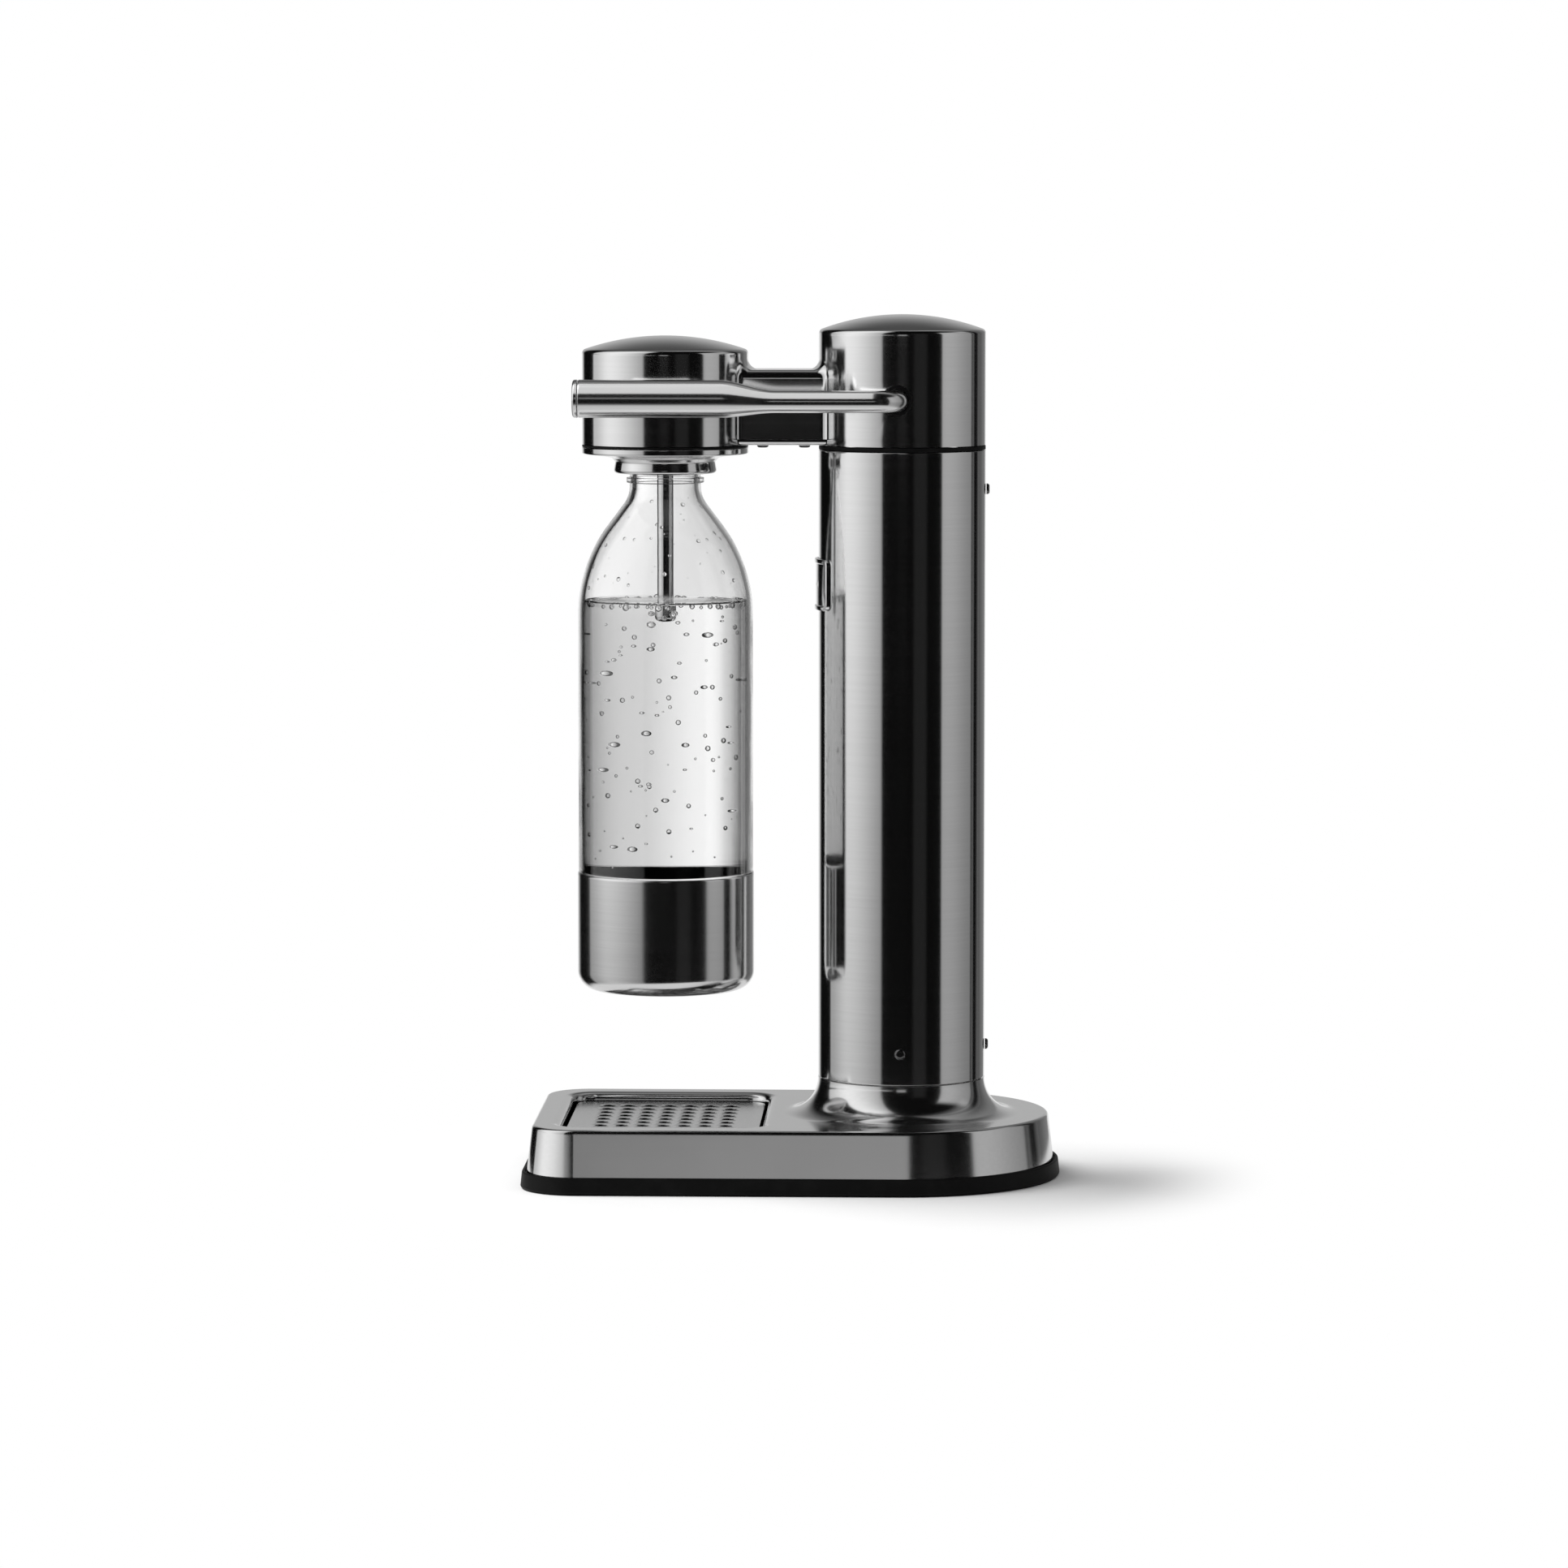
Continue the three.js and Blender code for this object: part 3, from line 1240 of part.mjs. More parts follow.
place(part, 'column_cap', columnCap(), polishedSteel);
place(part, 'nozzle_cap', nozzleCap(), polishedSteel);
place(part, 'arm_casing', armCasing(), polishedSteel);
place(part, 'arm_cover', armCover(), polishedSteel);
armScrewSeats.forEach((seat, i) => place(part, `arm_screw_${i + 1}`,
  screw(seat, upwards, armScrewHeadRadius, armScrewHeadHeight, armScrewLength), springSteel));
place(part, 'gas_hose', gasHose(), blackPlastic);

place(nozzle, 'nozzle_gasket',
  flatRing(nozzleCapRadius, collarSpigotRadius + seatGap, neckBoreTop + seatGap, nozzleGasketHeight, largeSteps),
  blackRubber);
place(nozzle, 'bottle_collar', bottleCollar(), polishedSteel);
place(nozzle, 'bottle_seal', flatRing(bottleSealRadius, bottleSealBore, sealSeat + seatGap, bottleSealHeight),
  blackRubber);
place(nozzle, 'nozzle_block', nozzleBlock(), blackPlastic);
nozzleScrewSeats.forEach((seat, i) => place(nozzle, `nozzle_screw_${i + 1}`,
  screw(seat, downwards, innerScrewHeadRadius, innerScrewHeadHeight, nozzleScrewLength), screwBlack));
place(nozzle, 'nozzle_tube',
  flatRing(nozzleTubeRadius, nozzleTubeBore, nozzleTubeBottom, nozzleTubeTop - nozzleTubeBottom), brushedSteel);
place(nozzle, 'nozzle_tip', nozzleTip(), polishedSteel);
place(nozzle, 'hose_fitting_front', fitting(nozzleBossRadius, nozzlePortHeight, 1), brass);
[['relief_poppet', reliefPoppet(), springSteel], ['relief_spring', reliefSpring(), springSteel],
  ['relief_cap', reliefCap(), brass]].forEach(([name, solid, material]) => {
  place(nozzle, name, solid, material).position.x = -reliefSetback;
});

place(nozzle, 'bottle_body', bottleBody(), clearPlastic);
place(nozzle, 'bottle_cup', bottleCup(), polishedSteel);

export default part;
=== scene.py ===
from collections import Counter
import math

import bmesh
import bpy
import numpy as np
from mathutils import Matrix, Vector
from mathutils.geometry import tessellate_polygon


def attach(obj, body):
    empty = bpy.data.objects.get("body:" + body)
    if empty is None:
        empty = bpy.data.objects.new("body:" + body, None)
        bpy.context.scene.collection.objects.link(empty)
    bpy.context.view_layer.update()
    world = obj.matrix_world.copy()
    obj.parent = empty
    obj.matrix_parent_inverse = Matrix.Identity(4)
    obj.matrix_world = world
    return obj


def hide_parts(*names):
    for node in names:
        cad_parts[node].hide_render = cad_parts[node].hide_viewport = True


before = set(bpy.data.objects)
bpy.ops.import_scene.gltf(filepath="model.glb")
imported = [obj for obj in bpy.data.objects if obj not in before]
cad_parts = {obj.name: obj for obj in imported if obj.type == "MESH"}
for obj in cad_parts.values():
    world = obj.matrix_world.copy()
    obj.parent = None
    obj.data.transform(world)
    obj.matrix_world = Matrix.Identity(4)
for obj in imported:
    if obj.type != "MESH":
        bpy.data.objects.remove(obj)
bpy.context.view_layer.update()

# Sizes in millimetres, as in the part. Heights start at the ground.

MM = 0.001
HOLD = 0.4  # from a round to the row of points that holds it
COLUMN_X = 52.0
NOZZLE_X = -61.5
PIVOT = (50.0, 373.8)

FOOT_LENGTH, FOOT_WIDTH, FOOT_CORNER = 257.0, 153.0, 26.5
SKIRT_TOP, SKIRT_BAND, LIP_TOP = 7.0, 11.0, 8.3
SHELL_BOTTOM, SHELL_TOP, SHELL_WALL = 7.3, 30.3, 1.5
SHELL_INSET, SHELL_LEAN, SHELL_EDGE = 3.0, 2.5, 1.8
NECK_FLARE = 17.0
WELL_LENGTH, WELL_WIDTH, WELL_CORNER, WELL_FLOOR, WELL_ROUND = 95.8, 112.4, 10.5, 13.0, 2.0
LIP_WIDTH, LIP_DROP = 4.4, 3.5
GRID_TOP, GRID_SHEET, GRID_GAP, GRID_EDGE, GRID_FOLD, GRID_BOTTOM = 26.4, 1.5, 1.7, 0.5, 2.5, 13.3
HOLE_RADIUS, HOLE_EASE, PITCH_X, PITCH_Y, HOLE_COLUMNS, HOLE_ROWS = 2.8, 0.16, 10.0, 11.0, 7, 8

TUBE_RADIUS, TUBE_BORE, TUBE_BOTTOM, TUBE_TOP = 40.0, 38.5, 48.0, 349.2
PLAQUE_WIDTH, PLAQUE_HEIGHT, PLAQUE_MIDDLE, PLAQUE_CORNER = 43.0, 24.5, 285.25, 3.0
PLAQUE_BACK, PLAQUE_FIELD, PLAQUE_RIM, PLAQUE_RIM_WIDTH = 40.3, 41.3, 41.9, 2.2
SCREW_REACH, SCREW_LOW, SCREW_HIGH = 40.3, 63.1, 330.6
FOOT_SEAT, ARM_SEAT = 7.0, 351.6

REAR_CAP = (COLUMN_X, -1, 39.9, 413.9, 407.2)  # middle, the arm's side, radius, crown, shoulder
FRONT_CAP = (NOZZLE_X, 1, 39.8, 403.7, 397.5)
CASING_BOTTOM, CASING_WALL, CASING_EDGE = 351.8, 2.0, 2.4
ARM_HALF, ARM_TOP, ARM_BOTTOM, ARM_EDGE, ARM_FILLET = 18.0, 387.7, 354.8, 4.0, 5.0
COVER_TOP, COVER_BOTTOM, COVER_EDGE, COVER_CUT = 354.5, 351.9, 2.2, 40.2

SHAFT_HOLE = 7.5
LEVER_START, LEVER_SIDE, LEVER_BEND, LEVER_END = 25.3, 54.0, 11.0, 149.6
ROD_RADIUS, GRIP_RADIUS, GRIP_RISE, SWELL_START, SWELL_LENGTH = 5.25, 9.0, 1.3, 57.0, 27.0
END_CAP_START, END_CAP_END = 149.9, 152.2

BOTTLE_RADIUS, BOTTLE_WALL, NECK_RADIUS, MOUTH_RADIUS = 42.0, 1.2, 17.1, 14.0
SHOULDER_TOP, SHOULDER_ROUND, NECK_ROUND, SHOULDER_SLOPE = 332.0, 71.4, 15.0, 36.9
BOTTLE_INSIDE, BOTTLE_FLOOR, BOTTLE_BOTTOM, BOTTLE_RIM = 39.6, 92.8, 90.8, 351.2
CUP_RADIUS, CUP_WALL, CUP_BOTTOM, CUP_TOP, IN_CUP = 42.5, 1.0, 89.5, 145.9, 41.2
WATER_TOP = 277.6


# Outlines and skins

def arc(x, y, radius, start, end, steps):
    """Points along an arc, its angles in degrees."""
    angles = np.radians(np.linspace(start, end, steps + 1))
    return [(x + radius * math.cos(a), y + radius * math.sin(a)) for a in angles]


def circle(radius, steps, x=0.0):
    """Points once round an upright axis."""
    return arc(x, 0, radius, 0, 360 - 360 / steps, steps - 1)


def eased(corners, steps=6, hold=0.3):
    """An outline whose corners (x, y, radius) are rounded, with a holding point beside each round."""
    outline = []
    for i, (x, y, radius) in enumerate(corners):
        if radius == 0:
            outline.append((x, y))
            continue
        here = complex(x, y)
        back, ahead = [complex(*corners[j % len(corners)][:2]) - here for j in (i - 1, i + 1)]
        room = (abs(back), abs(ahead))
        back, ahead = back / room[0], ahead / room[1]
        half = math.acos((ahead / back).real) / 2
        reach = radius / math.tan(half)
        middle = here + (back + ahead) / abs(back + ahead) * radius / math.sin(half)
        first, last = here + back * reach - middle, here + ahead * reach - middle
        round_off = [middle + first * (last / first) ** (k / steps) for k in range(steps + 1)]
        if room[0] > reach + 3 * hold:
            round_off.insert(0, here + back * (reach + hold))
        if room[1] > reach + 3 * hold:
            round_off.append(here + ahead * (reach + hold))
        outline += [(point.real, point.imag) for point in round_off]
    return outline


def ring_section(inner, outer, low, high, rounds, **how):
    """The section of a turned ring, with a round for each corner from the lower inner one on."""
    corners = ((inner, low), (outer, low), (outer, high), (inner, high))
    return eased([(*corner, radius) for corner, radius in zip(corners, rounds)], **how)


def rounded_rectangle(length, width, radius, x, y, steps, side_steps=(1, 1), hold=HOLD):
    """A rounded rectangle about (x, y), anticlockwise, with holding points beside its corners."""
    half = (length / 2 - radius, width / 2 - radius)
    outline = []
    quarters = ((1, 1, -1, 0), (-1, 1, 0, -1), (-1, -1, 1, 0), (1, -1, 0, 1))
    for quarter, (sx, sy, on_x, on_y) in enumerate(quarters):
        outline += arc(x + sx * half[0], y + sy * half[1], radius, 90 * quarter, 90 * quarter + 90, steps)
        start, side, count = outline[-1], 2 * half[quarter % 2], side_steps[quarter % 2]
        stops = [hold] + [side * k / count for k in range(1, count)] + [side - hold]
        outline += [(start[0] + on_x * s, start[1] + on_y * s) for s in stops]
    return outline


class Skin:
    """The points and faces of one piece, in millimetres."""

    def __init__(self):
        self.points, self.faces = [], []

    def row(self, points):
        start = len(self.points)
        self.points += [tuple(p) for p in points]
        return list(range(start, len(self.points)))

    def level(self, outline, height):
        return self.row((x, y, height) for x, y in outline)

    def bridges(self, rows, closed=True):
        """Faces from each row to the next. A row may be one point repeated."""
        for a, b in zip(rows, rows[1:]):
            for i in range(len(a) if closed else len(a) - 1):
                j = (i + 1) % len(a)
                face = tuple(dict.fromkeys((a[i], a[j], b[j], b[i])))
                if len(face) > 2:
                    self.faces.append(face)

    def between(self, outer, *holes):
        """Fills the flat ground inside one loop of points and outside the others."""
        loops = [outer, *holes]
        order = [i for loop in loops for i in loop]
        flat = [[Vector(self.points[i]) for i in loop] for loop in loops]
        self.faces += [tuple(order[i] for i in corners) for corners in tessellate_polygon(flat)]

    def moved(self, change):
        self.points = [tuple(change(*p)) for p in self.points]
        return self


def spun(outline, x, steps):
    """A closed outline of (radius, height) turned about an upright axis."""
    skin = Skin()
    rows = []
    for radius, height in outline:
        if radius < 1e-6:
            rows.append(skin.row([(x, 0, height)]) * steps)
        else:
            rows.append(skin.level(circle(radius, steps, x), height))
    skin.bridges(rows + rows[:1])
    return skin


def lofted(rows):
    """Rows of points bridged one to the next, with a face at each end."""
    skin = Skin()
    rows = [skin.row(row) for row in rows]
    skin.bridges(rows)
    skin.faces += [tuple(rows[0]), tuple(rows[-1])]
    return skin


def shelled(skin_at, wall):
    """Joins a skin and its copy one wall further in along every open edge."""
    outer, inner = skin_at(0.0), skin_at(wall)
    first_at = {}
    same = [first_at.setdefault(tuple(round(c, 4) for c in p), i) for i, p in enumerate(outer.points)]
    faces = [tuple(dict.fromkeys(same[i] for i in face)) for face in outer.faces]
    faces = [face for face in faces if len(face) > 2]
    uses = Counter()
    for face in faces:
        uses.update((min(edge), max(edge)) for edge in zip(face, face[1:] + face[:1]))
    offset = len(outer.points)
    shell = Skin()
    shell.points = outer.points + inner.points
    shell.faces = faces + [tuple(i + offset for i in reversed(face)) for face in faces]
    shell.faces += [(b, a, a + offset, b + offset) for (a, b), count in uses.items() if count == 1]
    return shell


# Pieces

def link(item):
    bpy.context.scene.collection.objects.link(item)
    return item


def open_mesh(skin):
    """A mesh in metres from a skin in millimetres."""
    mesh = bpy.data.meshes.new("skin")
    mesh.from_pydata([tuple(c * MM for c in p) for p in skin.points], [], skin.faces)
    return mesh


def closed_mesh(skin):
    return tidied(open_mesh(skin))


def tidied(mesh, joined=None, moved=(0, 0, 0)):
    """Moves a mesh, joins another to it, merges doubles and turns the faces outwards."""
    work = bmesh.new()
    work.from_mesh(mesh)
    bmesh.ops.translate(work, verts=work.verts, vec=moved)
    if joined:
        work.from_mesh(joined)
    bmesh.ops.remove_doubles(work, verts=work.verts, dist=2e-6)
    loose = [v for v in work.verts if not v.link_faces]
    bmesh.ops.delete(work, geom=loose, context="VERTS")
    bmesh.ops.recalc_face_normals(work, faces=work.faces)
    work.to_mesh(mesh)
    work.free()
    return mesh


def piece(name, body, slot_name, finish, shape, *nodes, sharp=32):
    """Makes a piece of a skin, or of a mesh that a tree has made, in place of the nodes."""
    mesh = closed_mesh(shape) if isinstance(shape, Skin) else shape
    mesh.name = name
    mesh.materials.clear()
    mesh.materials.append(finish)
    mesh.shade_smooth()
    mesh.set_sharp_from_angle(angle=math.radians(sharp))
    made = link(bpy.data.objects.new(name, mesh))
    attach(made, body)
    if nodes:
        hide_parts(*nodes)


# Shading

class Nodes:
    """Adds nodes to one tree."""

    def node(self, kind, sockets=(), **settings):
        """Adds a node: its settings first, then the values or links of its sockets."""
        made = self.tree.nodes.new(kind)
        for key, value in settings.items():
            setattr(made, key, value)
        pairs = sockets.items() if isinstance(sockets, dict) else enumerate(sockets)
        for key, value in pairs:
            source = getattr(value, "socket", value)
            if isinstance(source, bpy.types.NodeSocket):
                self.tree.links.new(source, made.inputs[key])
            else:
                made.inputs[key].default_value = source
        return made

    def out(self, kind, sockets=(), output=0, **settings):
        return self.node(kind, sockets, **settings).outputs[output]


class Value:
    """A number that varies over a surface. Sums on it add Math nodes."""

    def __init__(self, shading, socket):
        self.shading, self.socket = shading, socket

    def sum(self, operation, *parts):
        return Value(self.shading, self.shading.out("ShaderNodeMath", parts, operation=operation))

    def __add__(self, other): return self.sum("ADD", self, other)
    def __radd__(self, other): return self.sum("ADD", other, self)
    def __sub__(self, other): return self.sum("SUBTRACT", self, other)
    def __rsub__(self, other): return self.sum("SUBTRACT", other, self)
    def __mul__(self, other): return self.sum("MULTIPLY", self, other)
    def __rmul__(self, other): return self.sum("MULTIPLY", other, self)
    def __pow__(self, other): return self.sum("POWER", self, other)
    def __abs__(self): return self.sum("ABSOLUTE", self)

    def most(self, other): return self.sum("MAXIMUM", self, other)
    def least(self, other): return self.sum("MINIMUM", self, other)
    def bearing(self, other): return self.sum("ARCTAN2", self, other) * (180 / math.pi)

    def step(self, low, high):
        """Rises smoothly from 0 at low to 1 at high."""
        sockets, kind = (self, low, high), "SMOOTHSTEP"
        return Value(self.shading, self.shading.out("ShaderNodeMapRange", sockets, interpolation_type=kind))

    def band(self, low, high, soft):
        return self.step(low - soft, low + soft) * (1 - self.step(high - soft, high + soft))


class Shading(Nodes):
    """The node tree of one material or of the world."""

    def __init__(self, owner):
        owner.use_nodes = True
        self.owner, self.tree = owner, owner.node_tree
        self.tree.nodes.clear()

    def place(self, stretch=(1, 1, 1)):
        values = {"Vector": self.out("ShaderNodeTexCoord", output="Object"), "Scale": stretch}
        return self.out("ShaderNodeMapping", values)

    def axes(self, vector):
        split = self.node("ShaderNodeSeparateXYZ", [vector])
        return [Value(self, output) for output in split.outputs]

    def noise(self, scale, detail=3.0, rough=0.5, stretch=(1, 1, 1)):
        values = {"Vector": self.place(stretch), "Scale": scale, "Detail": detail, "Roughness": rough}
        return Value(self, self.out("ShaderNodeTexNoise", values))

    def path(self, *names):
        """What kind of ray meets the surface: a value for each name."""
        outputs = self.node("ShaderNodeLightPath").outputs
        return [Value(self, outputs[name]) for name in names]

    def blend(self, amount, dark, light):
        """Mixes two colours by a varying amount."""
        values = {0: amount}
        for key, color in ((6, dark), (7, light)):
            values[key] = color if isinstance(color, bpy.types.NodeSocket) else (*color, 1)
        return self.out("ShaderNodeMix", values, 2, data_type="RGBA")

    def shown(self, kind, values):
        shader = self.out("ShaderNodeBsdf" + kind, values)
        self.node("ShaderNodeOutputMaterial", {"Surface": shader})
        return self.owner

    def surface(self, color, roughness, relief, depth, more):
        """A surface with a fine relief of a given depth, and more of its sockets by name."""
        bump = self.out("ShaderNodeBump", {"Height": relief, "Distance": depth, "Strength": 1.0})
        values = {"Base Color": color, "Roughness": roughness, "Normal": bump, **more}
        return self.shown("Principled", values)


def material(name):
    return Shading(bpy.data.materials.new(name))


def grey(level):
    return (level, level, level)


def brushed_steel(name, level, roughness, grain, depth, dulling_and_painted_shade=None):
    """Steel with fine streaks. grain is how quickly they change along each axis, per metre. A mask, when
    given, is painted shade: where it is 1 the colour goes to near black.
    """
    m = material(name)
    streaks = m.noise(1.0, 4.0, 0.7, grain)
    clouds = m.noise(22.0, 4.0)
    wipes = m.noise(1.0, 2.0, stretch=[g * 0.12 + 6 for g in grain])
    shade = (streaks * 0.5 + wipes * 0.3 + clouds * 0.2).step(0.3, 0.7)
    color = m.blend(shade, grey(level - 0.035), grey(level + 0.02))
    if dulling_and_painted_shade:
        # Painted shade: the colour goes to near black where the mask is 1, in the holes and in the well.
        color = m.blend(dulling_and_painted_shade(*m.axes(m.place())), color, grey(0.03))
    rubbed = roughness + (streaks - 0.5) * 0.05 + (clouds - 0.5) * 0.04 + (wipes - 0.5) * 0.03
    return m.surface(color, rubbed, streaks, depth, {"Metallic": 1.0})


def painted_shade_in_holes(x, y, z):
    """Painted shade: 1 inside the grid's holes and on its folded sides, 0 on its top."""
    return z.step((GRID_TOP - 0.06) * MM, (GRID_TOP - 0.2) * MM)


def painted_shade_in_well(x, y, z):
    """Painted shade: 1 inside the pressed well below its lip, 0 elsewhere."""
    half_x, half_y = WELL_LENGTH / 2 + 0.2, WELL_WIDTH / 2 + 0.2
    across = abs(x - NOZZLE_X * MM).step((half_x + 0.4) * MM, half_x * MM)
    along = abs(y).step((half_y + 0.4) * MM, half_y * MM)
    return across * along * z.step((GRID_TOP + 0.3) * MM, (GRID_TOP - 0.3) * MM)


def turned_metal(name, light, dark, roughness):
    """Turned or drawn metal with fine rings and a little dulling."""
    m = material(name)
    rings = m.noise(1.0, 2.0, stretch=(60, 60, 2600))
    stains = m.noise(160.0, 5.0, 0.6)
    # A roughness only: nothing is painted here.
    dulling_and_painted_shade = roughness + (rings - 0.5) * 0.12 + (stains - 0.5) * 0.15
    return m.surface(m.blend(stains.step(0.35, 0.7), light, dark), dulling_and_painted_shade, rings, 4e-6, {"Metallic": 1.0})


def cast_metal(name):
    m = material(name)
    pits, patches = m.noise(1400.0), m.noise(60.0, 4.0)
    color = m.blend(patches, grey(0.46), grey(0.58))
    return m.surface(color, 0.48 + (pits - 0.5) * 0.3, pits, 4e-5, {"Metallic": 0.9})


def moulded(name, level, roughness, grain):
    """Black rubber or plastic with a fine moulded grain, a little paler where it is rubbed."""
    m = material(name)
    skin, dust = m.noise(grain), m.noise(90.0, 5.0, 0.62)
    color = m.blend(dust.step(0.4, 0.75), grey(level), grey(level * 1.7))
    rubbed = roughness + (skin - 0.5) * 0.18 + (dust - 0.5) * 0.1
    return m.surface(color, rubbed, skin, 1.5e-5, {"Specular IOR Level": 0.12})


def screw_finish(name):
    m = material(name)
    wear = m.noise(900.0, 4.0)
    color = m.blend(wear.step(0.45, 0.8), grey(0.12), grey(0.2))
    return m.surface(color, 0.14 + wear * 0.12, wear, 4e-6, {"Metallic": 1.0})


def clear_bottle(name):
    """Clear blown plastic: very slightly wavy, with faint moulding haze."""
    m = material(name)
    waves, haze = m.noise(46.0, 2.0, stretch=(1, 1, 0.5)), m.noise(300.0)
    color = m.blend(haze, grey(0.98), grey(0.995))
    return m.surface(color, haze * 0.03, waves, 1.2e-4, {"IOR": 1.48, "Transmission Weight": 1.0})


def clear_water(name):
    m = material(name)
    color = m.blend(m.noise(12.0, 1.0), grey(0.975), grey(0.99))
    values = {"Base Color": color, "Roughness": 0.0, "IOR": WATER_BEND, "Transmission Weight": 1.0}
    return m.shown("Principled", values)


def clear_round(name, bend):
    """A bubble or a drop. bend is how much slower light runs inside it than around it."""
    m = material(name)
    color = m.blend(m.noise(500.0, 1.0), grey(0.92), grey(1.0))
    return m.shown("Glass", {"Color": color, "Roughness": 0.0, "IOR": bend})


STREAK = 5200
WATER_BEND = 1.33
steel_round = brushed_steel("polished_steel_round", 0.76, 0.1, (30, 30, STREAK), 6e-7)
steel_long = brushed_steel("polished_steel_long", 0.76, 0.11, (24, 24, STREAK), 6e-7)
steel_top = brushed_steel("polished_steel_plate", 0.74, 0.13, (26, STREAK, STREAK), 5e-7, painted_shade_in_well)
steel_rod = brushed_steel("polished_steel_rod", 0.76, 0.18, (26, STREAK, STREAK), 6e-7)
steel_cup = brushed_steel("brushed_steel_cup", 0.72, 0.15, (24, 24, STREAK), 8e-7)
steel_plate = brushed_steel("brushed_steel_plate", 0.7, 0.2, (30, STREAK, STREAK), 5e-7)
steel_punched = brushed_steel("punched_steel_plate", 0.7, 0.2, (30, STREAK, STREAK), 5e-7, painted_shade_in_holes)
steel_drawn = turned_metal("drawn_steel", grey(0.56), grey(0.44), 0.34)
brass = turned_metal("turned_brass", (0.72, 0.56, 0.27), (0.52, 0.38, 0.17), 0.28)
alloy = cast_metal("cast_alloy")
rubber = moulded("black_rubber", 0.004, 0.5, 2400.0)
plastic = moulded("black_plastic", 0.022, 0.42, 1500.0)
screw_black = screw_finish("black_screw")
bottle_clear = clear_bottle("clear_plastic")
water_clear = clear_water("water")
bubble_clear = clear_round("bubble", 1 / WATER_BEND)
drop_clear = clear_round("drop", WATER_BEND)


# Geometry trees

class Repeat(Nodes):
    """A geometry tree with named inputs. It makes a plain mesh of copies of one shape."""

    def __init__(self, name, **inputs):
        self.tree = bpy.data.node_groups.new(name, "GeometryNodeTree")
        face = self.tree.interface
        for way in ("INPUT", "OUTPUT"):
            face.new_socket(name="Geometry", in_out=way, socket_type="NodeSocketGeometry")
        self.keys = {
            label: face.new_socket(name=label, in_out="INPUT", socket_type="NodeSocket" + kind).identifier
            for label, kind in {"Shape": "Object", "Finish": "Material", **inputs}.items()
        }
        self.given = self.node("NodeGroupInput").outputs

    def place(self, points, **more):
        """Puts a copy of the given shape at every point, as real faces in the given finish."""
        shape = self.out("GeometryNodeObjectInfo", [self.given["Shape"]], "Geometry")
        copies = self.out("GeometryNodeInstanceOnPoints", {"Points": points, "Instance": shape, **more})
        real = self.out("GeometryNodeRealizeInstances", [copies])
        done = self.out("GeometryNodeSetMaterial", {"Geometry": real, "Material": self.given["Finish"]})
        self.node("NodeGroupOutput", [done])
        return self

    def make(self, source, skin, finish, **values):
        """The plain mesh that the tree makes from a source mesh and the skin that it copies."""
        maker = link(bpy.data.objects.new("maker", source))
        shape = link(bpy.data.objects.new("shape", closed_mesh(skin)))
        modifier = maker.modifiers.new("copies", "NODES")
        modifier.node_group = self.tree
        for label, value in {"Shape": shape, "Finish": finish, **values}.items():
            modifier[self.keys[label]] = value
        graph = bpy.context.evaluated_depsgraph_get()
        mesh = bpy.data.meshes.new_from_object(maker.evaluated_get(graph), depsgraph=graph)
        bpy.data.objects.remove(maker)
        bpy.data.objects.remove(shape)
        return mesh


def fastener_tree():
    """One copy on every face of the source, its axis along the face's normal."""
    tree = Repeat("fasteners")
    kept = tree.node("GeometryNodeCaptureAttribute", [tree.given["Geometry"]], domain="FACE")
    kept.capture_items.new("VECTOR", "Way")
    tree.tree.links.new(tree.out("GeometryNodeInputNormal"), kept.inputs["Way"])
    points = tree.out("GeometryNodeMeshToPoints", {"Mesh": kept.outputs["Geometry"]}, mode="FACES")
    turn = tree.out("FunctionNodeAlignRotationToVector", {"Vector": kept.outputs["Way"]}, axis="Z")
    return tree.place(points, Rotation=turn)


def scatter_tree():
    """Copies of several sizes spread over the source, each with its axis along the surface's normal."""
    tree = Repeat("bubbles", Density="Float", Smallest="Float", Largest="Float", Seed="Int")
    given = tree.given
    spread = tree.node("GeometryNodeDistributePointsOnFaces", {
        "Mesh": given["Geometry"], "Density": given["Density"], "Seed": given["Seed"],
    })
    even = tree.out("FunctionNodeRandomValue", {"Seed": given["Seed"]}, 1)
    skewed = tree.out("ShaderNodeMath", [even, 1.5], operation="POWER")
    size = tree.out("ShaderNodeMapRange", {0: skewed, 3: given["Smallest"], 4: given["Largest"]})
    return tree.place(spread.outputs["Points"], Rotation=spread.outputs["Rotation"], Scale=size)


def cell_tree():
    """A block of cells, columns by rows, with a length and width between the outer cells' middles."""
    tree = Repeat("perforation", Length="Float", Width="Float", Columns="Int", Rows="Int")
    sizes = [tree.given[label] for label in ("Length", "Width", "Columns", "Rows")]
    return tree.place(tree.out("GeometryNodeMeshGrid", sizes))


# Foot

def foot_outline(inset):
    """A half round about the column at one end, rounded corners at the other."""
    corner_x = FOOT_CORNER - FOOT_LENGTH / 2
    corner_y = FOOT_WIDTH / 2 - FOOT_CORNER
    side, corner, hold = FOOT_WIDTH / 2 - inset, FOOT_CORNER - inset, 0.5
    end = -FOOT_LENGTH / 2 + inset
    return [
        *arc(COLUMN_X, 0, side, -90, 90, 80),
        (COLUMN_X - hold, side), (corner_x + hold, side),
        *arc(corner_x, corner_y, corner, 90, 180, 18),
        (end, corner_y - hold), (end, hold - corner_y),
        *arc(corner_x, -corner_y, corner, 180, 270, 18),
        (corner_x + hold, -side), (COLUMN_X - hold, -side),
    ]


def well_outline(grow):
    length, width = WELL_LENGTH + 2 * grow, WELL_WIDTH + 2 * grow
    return rounded_rectangle(length, width, WELL_CORNER + grow, NOZZLE_X, 0, 12, hold=0.5)


